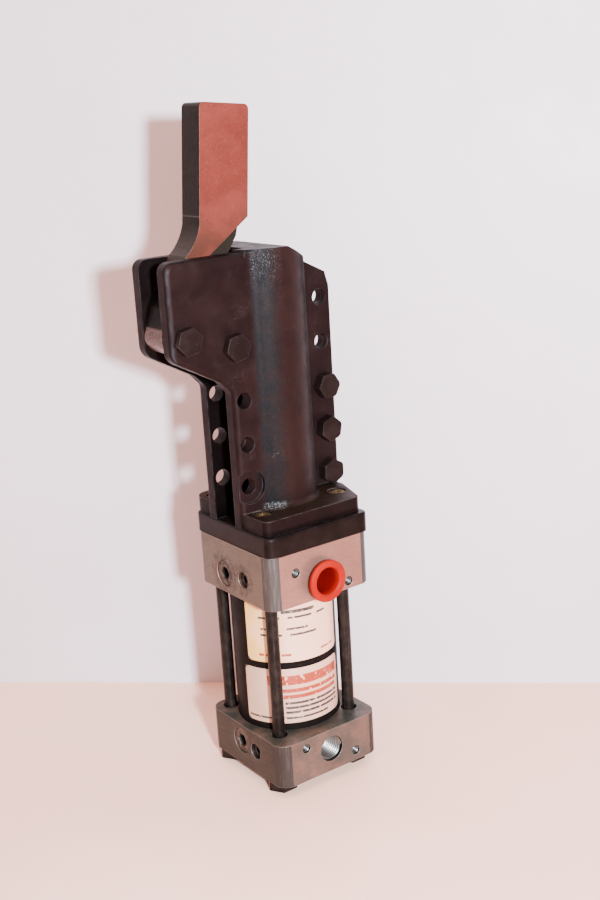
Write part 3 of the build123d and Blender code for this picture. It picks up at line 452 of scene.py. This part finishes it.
def body_black():
    """Brown-black oxide, with a painted grey reflection down the barrel's left side, reddish down
    its right, a painted blue highlight on the cheeks' rounded noses, and painted shade on the
    barrel's right limb, in the slot and on the roof.
    """
    g = Graph("body_black")
    cloud = g.noise(32.0, 6.0, distortion=0.5)
    grain = g.noise(900.0, 3.0)
    soft = g.noise(120.0, 5.0)
    angle = barrel_angle(g)
    barrel = barrel_mask(g)
    color = g.blend(g.fade(cloud, 0.32, 0.70), *OXIDE)
    color = g.blend(g.fade(soft, 0.55, 0.75, 0.0, 0.45), color, OXIDE_SOFT)
    # Painted reflection: a broken grey-blue band down the barrel where its satin oxide mirrors the
    # key light.
    rub_and_reflection_mask = g.both(g.both(barrel, g.near(angle, *REFLECTION_BAND)),
                    g.fade(soft, 0.25, 0.65, 0.35, 1.0))
    color = g.blend(rub_and_reflection_mask, color, REFLECTION_GREY)
    rusty = g.both(g.both(barrel, g.near(angle, *RUSTY_BAND)),
                   g.fade(cloud, 0.30, 0.62, 0.15, 0.9))
    color = g.blend(rusty, color, RUST_BROWN)
    high_up = g.fade(g.z, BODY_TOP - 30.0 * MM, BODY_TOP - 4.0 * MM, 0.12, 0.85)
    speckle = g.both(g.fade(g.noise(1500.0, 3.0), 0.54, 0.70),
                     g.both(high_up, g.both(barrel, g.near(angle, *SPECKLE_BAND))))
    color = g.blend(speckle, color, SPECKLE)
    color = foot_tones(g, color)
    # Painted shade in the slot between the halves and on the barrel's roof.
    color = painted_shade_tones(g, color)
    color = g.blend(scratches(g), color, BODY_SCRATCH)
    worn = g.both(g.edges(0.9 * MM), g.fade(g.noise(150.0, 5.0), 0.38, 0.64, 0.0, 0.65))
    color = g.blend(worn, color, BODY_EDGE)
    # Painted highlight: a blue-grey glint along the cheeks' rounded left edges.
    color = g.blend(g.both(nose_mask(g), g.fade(soft, 0.30, 0.60, 0.25, 0.85)), color, NOSE_HIGHLIGHT_BLUE)
    # Painted shade on the barrel's right limb, against a grazing reflection; the same band is also
    # made rougher.
    dull_shaded_limb = g.both(barrel, g.near(angle, *DULL_SHADED_BAND))
    color = g.shade(dull_shaded_limb, color, LIMB_SHADE)
    rough = g.math("ADD", g.fade(soft, 0.3, 0.7, 0.40, 0.56), g.both(dull_shaded_limb, 0.30))
    height = g.math("ADD", g.both(grain, 0.5), g.both(soft, 1.6))
    return g.finish(color, rough, 0.3, g.bump(height, 0.12 * MM, 0.55, g.rounded(1.0 * MM)),
                    Specular_IOR_Level=0.06)


def painted_shade_tones(g, color):
    """Painted shade on the faces in the slot between the halves and on the barrel's roof."""
    in_slot = g.both(g.fade(g.math("ABSOLUTE", g.y), SLOT_HALF + 0.5 * MM, SLOT_HALF + 0.2 * MM),
                     g.fade(g.x, SLOT_END_X, SLOT_END_X - 4.0 * MM))
    color = g.shade(in_slot, color, SLOT_SHADE)
    roof = g.both(g.fade(g.nz, 0.6, 0.9), g.fade(g.z, BODY_TOP - 30.0 * MM, BODY_TOP - 20.0 * MM))
    return g.shade(roof, color, ROOF_SHADE)


def nose_mask(g):
    """Mask of the rounded upright edge at the cheeks' left ends, where a blue-grey highlight is
    painted.
    """
    turned = g.both(g.fade(g.nx, -0.40, -0.65), g.fade(g.math("ABSOLUTE", g.ny), 0.40, 0.65))
    return g.both(turned, g.fade(g.x, BODY_LOW.x + 5.0 * MM, BODY_LOW.x + 3.0 * MM))


def foot_tones(g, color):
    """Oily olive-brown on the foot's top, a pale patch at the barrel's left base, darker sides,
    and painted shade in the strip just above the retainer plate.
    """
    on_top = g.both(g.fade(g.nz, 0.7, 0.95), g.near(g.z, FOOT_TOP, 0.6 * MM, 0.6 * MM))
    away = g.around(g.x, g.y, (BARREL_X, 0.0))
    oil = g.both(on_top, g.fade(away, 44.0 * MM, 28.0 * MM, 0.45, 1.0))
    color = g.blend(oil, color, FOOT_OIL)
    base = g.both(g.near(away, BARREL_RADIUS + 1.5 * MM, 1.5 * MM, 1.5 * MM),
                  g.near(g.z, FOOT_TOP + 1.5 * MM, 1.5 * MM, 1.5 * MM))
    broken = g.fade(g.noise(1100.0, 3.0), 0.48, 0.60)
    patch = g.both(base, g.both(g.near(barrel_angle(g), *PATCH_BAND), broken))
    color = g.blend(patch, color, FOOT_PATCH)
    worn = g.both(g.edges(0.6 * MM), g.near(g.z, FOOT_TOP, 0.8 * MM, 0.4 * MM))
    color = g.blend(g.both(worn, g.fade(g.noise(140.0, 4.0), 0.36, 0.60)), color, FOOT_WORN)
    side = g.both(g.fade(g.z, FOOT_TOP, FOOT_TOP - 0.6 * MM), g.fade(g.nz, 0.5, 0.2))
    color = g.shade(side, color, FOOT_SIDE_TINT)
    # Painted shade: the dark gap where the foot meets the retainer plate.
    under = g.both(g.near(g.z, PLATE_HIGH.z + 1.2 * MM, 1.4 * MM, 1.4 * MM),
                   g.fade(g.nz, 0.5, 0.2))
    return g.shade(under, color, FOOT_UNDER_SHADE)


def scratches(g):
    """Mask of thin handling scratches in two leanings."""
    marks = None
    for stretch, scale in (((9.0, 9.0, 0.8), 70.0), ((1.2, 1.2, 11.0), 60.0)):
        thin = g.near(g.noise(scale, 1.0, stretch=stretch), 0.5, 0.0025, 0.0035)
        thin = g.both(thin, g.fade(g.noise(45.0, 2.0), 0.60, 0.70, 0.0, 0.5))
        marks = g.either(marks, thin)
    return marks


def plate_black():
    """Smoother black of the retainer plate, with one rubbed corner."""
    g = Graph("plate_black")
    soft = g.noise(95.0, 5.0)
    grain = g.noise(800.0, 3.0)
    color = g.blend(g.fade(soft, 0.35, 0.7), *PLATE)
    worn = g.both(g.edges(0.9 * MM), g.fade(soft, 0.40, 0.65, 0.05, 0.5))
    color = g.blend(worn, color, PLATE_EDGE)
    corner = g.fade(g.around(g.x, g.y, (PLATE_LOW.x, PLATE_LOW.y)), 9.0 * MM, 2.0 * MM)
    rub_and_reflection_mask = g.both(g.both(corner, g.edges(1.5 * MM)), g.fade(soft, 0.35, 0.5))
    color = g.blend(rub_and_reflection_mask, color, PLATE_RUBBED)
    rough = g.fade(soft, 0.3, 0.7, 0.30, 0.46)
    return g.finish(color, rough, 0.3, g.bump(grain, 0.06 * MM, 0.6), Specular_IOR_Level=0.09)


# ---------------------------------------------------------------- arm

RED = ((0.120, 0.0232, 0.0165), (0.090, 0.0163, 0.0115))
RED_GRAIN = (0.165, 0.040, 0.030)
RED_NECK = (0.054, 0.0175, 0.0115)
RED_PIT = (0.040, 0.014, 0.011)
RED_SCRATCH = (0.055, 0.016, 0.012)
ARM_STEEL = ((0.0058, 0.0038, 0.0023), (0.0125, 0.0084, 0.0052))
ARM_LINE = (0.055, 0.040, 0.031)
ARM_NECK = (0.030, 0.021, 0.016)
WEB_SHADE = (0.18, 0.18, 0.18)
HUB_STEEL = ((0.165, 0.105, 0.088), (0.095, 0.060, 0.050))
ARM_EDGE = (0.165, 0.085, 0.065)


def arm_paint():
    """Faded red on the arm's flat sides, bare dark steel elsewhere, and a bright hub."""
    g = Graph("arm_red")
    cloud = g.noise(40.0, 6.0, distortion=0.3)
    grain = g.noise(700.0, 4.0)
    side = g.both(g.fade(g.math("ABSOLUTE", g.ny), 0.85, 0.95),
                  g.fade(g.math("ABSOLUTE", g.y), ARM_FACE - 0.6 * MM, ARM_FACE - 0.3 * MM))
    away = g.around(g.x, g.z, (PIVOT.x, PIVOT.z))
    hub = g.fade(away, HUB_RADIUS + 1.2 * MM, HUB_RADIUS + 0.4 * MM)
    edge = g.both(g.edges(0.6 * MM), g.fade(grain, 0.35, 0.60, 0.25, 0.9))
    color = g.blend(side, arm_steel(g), arm_red(g, cloud, grain))
    color = g.blend(edge, color, ARM_EDGE)
    color = g.blend(hub, color, g.blend(g.fade(grain, 0.40, 0.65), *HUB_STEEL))
    metal = g.math("MAXIMUM", g.both(g.math("SUBTRACT", 1.0, side), 0.5), hub)
    rough = g.math("ADD", g.fade(grain, 0.3, 0.7, 0.42, 0.56), g.both(hub, -0.14))
    height = g.math("ADD", g.both(grain, 0.7), g.both(cloud, 1.2))
    return g.finish(color, rough, metal, g.bump(height, 0.08 * MM, 0.5, g.rounded(0.7 * MM)),
                    Specular_IOR_Level=0.08)


def arm_red(g, cloud, grain):
    """Faded paint, browner towards the neck, with pits and scratches."""
    neck = g.fade(g.z, SHOULDER_Z + 23.0 * MM, SHOULDER_Z - 14.0 * MM)
    pits = g.both(g.fade(g.cells(330.0), 0.16, 0.09), g.fade(g.noise(60.0, 2.0), 0.42, 0.56))
    red = g.blend(g.fade(cloud, 0.34, 0.68), *RED)
    red = g.blend(g.fade(grain, 0.52, 0.70, 0.0, 0.32), red, RED_GRAIN)
    red = g.blend(g.both(neck, g.fade(cloud, 0.34, 0.58, 0.40, 1.0)), red, RED_NECK)
    red = g.blend(pits, red, RED_PIT)
    return g.blend(g.both(scratches(g), 0.8), red, RED_SCRATCH)


def arm_steel(g):
    """Brushed dark steel, paler at the neck, with the line across the arm's narrow face, and
    painted shade low down where the arm sits in the slot.
    """
    brushed = g.noise(260.0, 4.0, stretch=(4.0, 4.0, 0.15))
    steel = g.blend(g.fade(brushed, 0.35, 0.70), *ARM_STEEL)
    line = g.near(g.z, SHOULDER_Z + 4.5 * MM, 0.25 * MM, 0.25 * MM)
    steel = g.blend(g.both(line, g.fade(g.nx, -0.7, -0.9)), steel, ARM_LINE)
    neck = g.both(g.fade(g.z, SHOULDER_Z + 1.0 * MM, SHOULDER_Z - 11.0 * MM),
                  g.fade(g.z, SHOULDER_Z - 31.0 * MM, SHOULDER_Z - 23.0 * MM))
    steel = g.blend(g.both(neck, 0.7), steel, ARM_NECK)
    # Painted shade: the slot's shadow, fixed on the arm as it stands at rest.
    shaded_web = g.fade(g.z, SHOULDER_Z - 24.0 * MM, SHOULDER_Z - 32.0 * MM)
    return g.shade(shaded_web, steel, WEB_SHADE)


# ---------------------------------------------------------------- plastics, rubber, labels

CAP = ((0.255, 0.0036, 0.0003), (0.215, 0.0028, 0.0003))
CAP_MOUTH_SHADE = (0.42, 0.30, 0.30)
TUBE = ((0.0045, 0.0032, 0.0028), (0.0160, 0.0115, 0.0095))
LABEL_STAIN = (0.36, 0.30, 0.21)
LABEL_BEYOND = (0.006, 0.005, 0.005)
LABEL_CORNER = 4.0 * MM
INK = (0.022, 0.017, 0.016)
ORANGE = (0.30, 0.024, 0.006)
UPPER_LABEL = {"name": "label_upper", "node": "tube_label_upper", "turn": 111.5, "half": 57.5,
               "tones": ((0.79, 0.435, 0.30), (0.66, 0.36, 0.085))}
LOWER_LABEL = {"name": "label_lower", "node": "tube_label_lower", "turn": 114.5, "half": 60.5,
               "tones": ((0.59, 0.325, 0.235), (0.41, 0.25, 0.175))}
# Plain printed bars: middle along the tube's arc, middle height in the label, half sizes, in mm.
UPPER_BARS = (
    (INK, ((2.0, 34.0, 11.0, 1.1), (-17.0, 30.0, 7.0, 0.7), (3.0, 30.0, 8.0, 0.7),
           (18.0, 30.0, 4.0, 0.7), (-19.0, 22.5, 4.0, 0.7), (1.0, 22.5, 7.0, 0.7),
           (-16.0, 18.5, 7.0, 0.7), (5.0, 18.5, 9.0, 0.7))),
    (ORANGE, ((-19.0, 5.0, 6.0, 0.8), (-7.0, 5.0, 3.0, 0.8), (23.0, 5.0, 6.0, 0.6))),
)
LOWER_BARS = (
    (ORANGE, ((7.0, 29.5, 26.0, 3.2), (10.0, 22.4, 22.0, 1.3), (11.0, 18.2, 20.0, 1.3))),
    (INK, ((12.0, 13.8, 20.0, 0.85), (12.0, 10.6, 20.0, 0.85), (12.0, 7.4, 20.0, 0.85),
           (-6.0, 3.6, 28.0, 0.7))),
)


def moulded(name, base, tint, roughness):
    """Moulded plastic or rubber with a fine skin."""
    g = Graph(name)
    skin = g.noise(1400.0, 3.0)
    cloud = g.noise(90.0, 4.0)
    color = g.blend(g.fade(cloud, 0.35, 0.65), base, tint)
    rough = g.fade(skin, 0.3, 0.7, roughness - 0.06, roughness + 0.08)
    return g.finish(color, rough, 0.0, g.bump(skin, 0.03 * MM, 0.5), Specular_IOR_Level=0.2)


def cap_plastic():
    """Soft orange-red plastic, with painted shade down in the cap's mouth."""
    g = Graph("cap_plastic")
    skin = g.noise(1400.0, 3.0)
    cloud = g.noise(90.0, 4.0)
    color = g.blend(g.fade(cloud, 0.35, 0.65), *CAP)
    # Painted shade: darker deeper into the cap's mouth.
    mouth = g.fade(g.y, HEAD_FRONT - 6.2 * MM, HEAD_FRONT - 1.0 * MM)
    color = g.shade(mouth, color, CAP_MOUTH_SHADE)
    rough = g.fade(skin, 0.3, 0.7, 0.46, 0.60)
    return g.finish(color, rough, 0.0, g.bump(skin, 0.03 * MM, 0.5), Specular_IOR_Level=0.10)


def tube_paint():
    """Black painted tube with orange peel and dust."""
    g = Graph("tube_black")
    peel = g.noise(420.0, 3.0)
    color = g.blend(g.fade(g.noise(240.0, 6.0), 0.56, 0.72, 0.0, 0.35), *TUBE)
    rough = g.fade(g.noise(60.0, 4.0), 0.3, 0.7, 0.44, 0.56)
    return g.finish(color, rough, 0.0, g.bump(peel, 0.03 * MM, 0.6), Specular_IOR_Level=0.04)


def label_film(label, groups):
    """Printed film: paper tone, plain bars, and rounded corners that show the tube's black."""
    g = Graph(label["name"])
    low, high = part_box(label["node"])
    feeds = {"Vector": g.place, "Rotation": (0.0, 0.0, math.radians(label["turn"]))}
    across, along, _ = g.axes(g.node("ShaderNodeMapping", feeds).outputs[0])
    arc = g.math("MULTIPLY", g.math("ARCTAN2", along, across), LABEL_RADIUS)
    rise = g.math("SUBTRACT", g.z, low.z)
    stain = g.noise(50.0, 5.0)
    age = g.both(g.fade(arc, 0.0, -30.0 * MM), g.fade(stain, 0.3, 0.7, 0.4, 1.0))
    color = g.blend(age, *label["tones"])
    color = g.blend(g.fade(stain, 0.58, 0.80, 0.0, 0.35), color, LABEL_STAIN)
    for ink, bars in groups:
        color = g.blend(bar_mask(g, arc, rise, bars), color, ink)
    half_arc = LABEL_RADIUS * math.radians(label["half"])
    beyond = outside_corners(g, arc, rise, half_arc, high.z - low.z)
    color = g.blend(beyond, color, LABEL_BEYOND)
    rough = g.fade(stain, 0.3, 0.7, 0.30, 0.42)
    return g.finish(color, rough, 0.0, g.bump(g.noise(300.0, 3.0), 0.02 * MM))


def bar_mask(g, arc, rise, bars):
    """Mask of a group of printed bars, broken up and worn."""
    total = None
    for middle, height, half_length, half_height in bars:
        along = g.math("COMPARE", arc, middle * MM, half_length * MM)
        up = g.math("COMPARE", rise, height * MM, half_height * MM)
        total = g.either(total, g.both(along, up))
    broken = g.fade(g.noise(330.0, 1.0, stretch=(1.0, 1.0, 0.6)), 0.33, 0.37)
    worn = g.fade(g.noise(900.0, 2.0), 0.32, 0.44, 0.65, 1.0)
    return g.both(total, g.both(broken, worn))


def outside_corners(g, arc, rise, half_arc, height):
    """Mask of what lies outside the label's rounded corners."""
    inner_arc = half_arc - LABEL_CORNER
    out = g.math("MAXIMUM", g.math("SUBTRACT", g.math("ABSOLUTE", arc), inner_arc), 0.0)
    inner_height = height / 2 - LABEL_CORNER
    up = g.math("MAXIMUM", g.math("SUBTRACT", g.off(rise, height / 2), inner_height), 0.0)
    return g.fade(g.length(out, up), LABEL_CORNER - 0.1 * MM, LABEL_CORNER)


# ---------------------------------------------------------------- materials on the CAD nodes

MATERIALS = {
    "head_metal": head_metal(),
    "tube_black": tube_paint(),
    "seal_rubber": moulded("seal_rubber", (0.018, 0.017, 0.017), (0.035, 0.033, 0.032), 0.55),
    "rod_black": rod_steel(),
    "plug_steel": plug_steel(),
    "cap_plastic": cap_plastic(),
    "piston_alloy": turned_steel("piston_alloy", (0.66, 0.65, 0.64), (0.48, 0.47, 0.46), 0.35),
    "wear_plastic": moulded("wear_plastic", (0.30, 0.17, 0.07), (0.22, 0.12, 0.05), 0.45),
    "fastener_black": fastener_steel(),
    "chrome_rod": turned_steel("chrome_rod", (0.72, 0.72, 0.73), (0.60, 0.60, 0.61), 0.14),
    "bronze": turned_steel("bronze", (0.55, 0.34, 0.15), (0.38, 0.22, 0.09), 0.34),
    "body_black": body_black(),
    "brass": turned_steel("brass", (0.70, 0.50, 0.22), (0.50, 0.33, 0.13), 0.30),
    "screw_yellow": turned_steel("screw_yellow", (0.27, 0.185, 0.095), (0.085, 0.055, 0.028),
                                 0.42),
    "arm_red": arm_paint(),
    "link_steel": turned_steel("link_steel", (0.36, 0.35, 0.34), (0.22, 0.21, 0.20), 0.38),
    "slide_steel": turned_steel("slide_steel", (0.46, 0.45, 0.44), (0.30, 0.29, 0.28), 0.30),
}
SPECIAL = {
    "tube_label_upper": label_film(UPPER_LABEL, UPPER_BARS),
    "tube_label_lower": label_film(LOWER_LABEL, LOWER_BARS),
    "retainer_plate": plate_black(),
}


def dress_nodes():
    """Put each CAD node's material on it, its own or the one for its slot in the record."""
    for part in frame["record"]["subparts"]:
        node = part["node"]
        material = SPECIAL.get(node) or MATERIALS[part["material_slot"]]
        for material_slot in frame["nodes"][node].material_slots:
            material_slot.link = "OBJECT"
            material_slot.material = material


dress_nodes()

# ---------------------------------------------------------------- threads in the open holes

THREAD_STEPS = 40
THREAD_METAL = ((0.185, 0.170, 0.165), (0.120, 0.108, 0.104))
THREAD_ROOT_SHADE = (0.012, 0.011, 0.010)
# Each thread's depth, pitch, height and taper.
PORT_THREAD = (16.0 * MM, 1.81 * MM, 1.0 * MM, 0.03)
TAP_THREAD = (6.5 * MM, 1.2 * MM, 0.6 * MM, 0.0)


def thread_metal(name, radius, height):
    """Cut metal with bright crests and painted shade in its roots."""
    g = Graph(name)
    away = g.around(g.x, g.z, (0.0, 0.0))
    grain = g.noise(1300.0, 3.0)
    root_shade = g.fade(away, radius - 0.85 * height, radius - 0.35 * height)
    color = g.blend(g.fade(grain, 0.35, 0.7), *THREAD_METAL)
    # Painted shade in the thread roots.
    color = g.blend(root_shade, color, THREAD_ROOT_SHADE)
    rough = g.fade(grain, 0.3, 0.7, 0.30, 0.42)
    return g.finish(color, rough, 0.85, g.bump(grain, 0.02 * MM), Specular_IOR_Level=0.2)


def thread(name, mouth, radius, sizes):
    """A cut female thread as one helical ribbon with a pointed crest, from the mouth to +Y."""
    depth, pitch, height, taper = sizes
    count = int(depth / pitch * THREAD_STEPS)
    ridge = ((0.0, 0.0), (0.42, height), (0.55, height), (1.0, 0.0))
    points = []
    for step in range(count + 1):
        angle = 2 * math.pi * step / THREAD_STEPS
        start = pitch * step / THREAD_STEPS
        for share, rise in ridge:
            into = start + share * pitch
            reach = radius - rise - taper * into
            points.append((reach * math.cos(angle), into, reach * math.sin(angle)))
    row = len(ridge)
    faces = [(first, first + 1, first + 1 + row, first + row)
             for first in range(count * row) if first % row < row - 1]
    mesh = bpy.data.meshes.new(name)
    mesh.from_pydata(points, [], faces)
    piece = bpy.data.objects.new(name, mesh)
    bpy.context.collection.objects.link(piece)
    piece.location = mouth
    piece.data.materials.append(thread_metal(name, radius, height))
    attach(piece, "housing")


def cut_threads():
    """Threads of the lower air port and of the four small tapped holes."""
    x, z = PORT_PLACE
    mouth = (x, HEAD_FRONT + 0.4 * MM, z)
    thread("port_thread", mouth, PORT_RADIUS - 0.05 * MM, PORT_THREAD)
    for number, (x, z) in enumerate(TAP_PLACES):
        mouth = (x, HEAD_FRONT + 0.3 * MM, z)
        thread("tap_thread_%d" % number, mouth, TAP_RADIUS - 0.04 * MM, TAP_THREAD)


cut_threads()

# ---------------------------------------------------------------- floor, wall, light, camera

FLOOR_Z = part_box("tie_rod_nuts")[0].z
WALL_GAP = 0.106
WALL_TURN = -43.2
WALL_HALF = 3.0
WALL_HEIGHT = 3.0
FLOOR_DEPTH = 4.0
WALL_TONES = ((0.640, 0.570, 0.615), (0.605, 0.530, 0.575))
FLOOR_TONES = ((0.93, 0.585, 0.470), (0.89, 0.53, 0.41))
WALL_WAVES = 1.5 * MM
FLOOR_WAVES = 0.6 * MM
TARGET = Vector((-0.01, 0.0, 0.2))
# Each light's name, place, size, power and colour.
LIGHTS = (
    ("key", (-0.40, -0.97, 0.47), 0.07, 56.0, (0.82, 0.93, 1.0)),
    ("top", (-0.45, -0.50, 1.50), 1.30, 32.0, (1.0, 0.68, 0.57)),
)
SKY_COLOR = (1.0, 0.56, 0.42, 1.0)
SKY_STRENGTH = 0.42
CAMERA_PLACE = (-0.4224157, -0.6232206, 0.4153263)
CAMERA_TURN = (74.21696, 3.30744, -36.37221)
LENS = 50.1695
NEAREST_SEEN = 0.01


def paper(name, tones, bump_depth):
    """Pale board or film: faint clouding and soft waves."""
    g = Graph(name)
    cloud = g.noise(5.0, 4.0)
    fibre = g.noise(220.0, 4.0)
    wave = g.noise(16.0, 3.0, distortion=0.3)
    color = g.blend(g.fade(cloud, 0.3, 0.7), *tones)
    color = g.blend(g.fade(fibre, 0.55, 0.8, 0.0, 0.15), color, tones[1])
    rough = g.fade(wave, 0.3, 0.7, 0.42, 0.55)
    return g.finish(color, rough, 0.0, g.bump(wave, bump_depth, 0.5, g.flat()))


def board(name, corners, material):
    """A flat stage panel from its four corners."""
    mesh = bpy.data.meshes.new(name)
    mesh.from_pydata(corners, [], [(0, 1, 2, 3)])
    panel = bpy.data.objects.new(name, mesh)
    bpy.context.collection.objects.link(panel)
    panel.data.materials.append(material)


def build_stage():
    """Pale table top and the wall close behind the clamp."""
    turn = math.radians(WALL_TURN)
    along = Vector((math.cos(turn), math.sin(turn), 0.0))
    back = Vector((-math.sin(turn), math.cos(turn), 0.0))
    foot = back * WALL_GAP
    foot.z = FLOOR_Z
    left = foot - along * WALL_HALF
    right = foot + along * WALL_HALF
    up = Vector((0.0, 0.0, WALL_HEIGHT))
    front = back * -FLOOR_DEPTH
    wall_white = paper("wall_white", WALL_TONES, WALL_WAVES)
    board("stage_wall", (left, right, right + up, left + up), wall_white)
    floor_beige = paper("floor_beige", FLOOR_TONES, FLOOR_WAVES)
    board("stage_floor", (left, left + front, right + front, right), floor_beige)


def area_light(name, place, size, power, tint):
    """A soft square light aimed at the middle of the clamp."""
    light = bpy.data.lights.new(name, "AREA")
    light.size = size
    light.energy = power
    light.color = tint
    lamp = bpy.data.objects.new(name, light)
    lamp.location = place
    lamp.rotation_euler = (TARGET - Vector(place)).to_track_quat("-Z", "Y").to_euler()
    bpy.context.collection.objects.link(lamp)


def build_lights():
    """A small cool key beside the camera, a wide warm top light and a warm surround."""
    for light in LIGHTS:
        area_light(*light)
    world = bpy.data.worlds.new("studio")
    world.use_nodes = True
    sky = world.node_tree.nodes["Background"]
    sky.inputs["Color"].default_value = SKY_COLOR
    sky.inputs["Strength"].default_value = SKY_STRENGTH
    bpy.context.scene.world = world


def build_camera():
    """Camera at the photograph's own angle."""
    lens = bpy.data.cameras.new("camera")
    lens.lens = LENS
    lens.clip_start = NEAREST_SEEN
    camera = bpy.data.objects.new("camera", lens)
    camera.location = CAMERA_PLACE
    camera.rotation_euler = [math.radians(turn) for turn in CAMERA_TURN]
    bpy.context.collection.objects.link(camera)
    bpy.context.scene.camera = camera


build_stage()
build_lights()
build_camera()
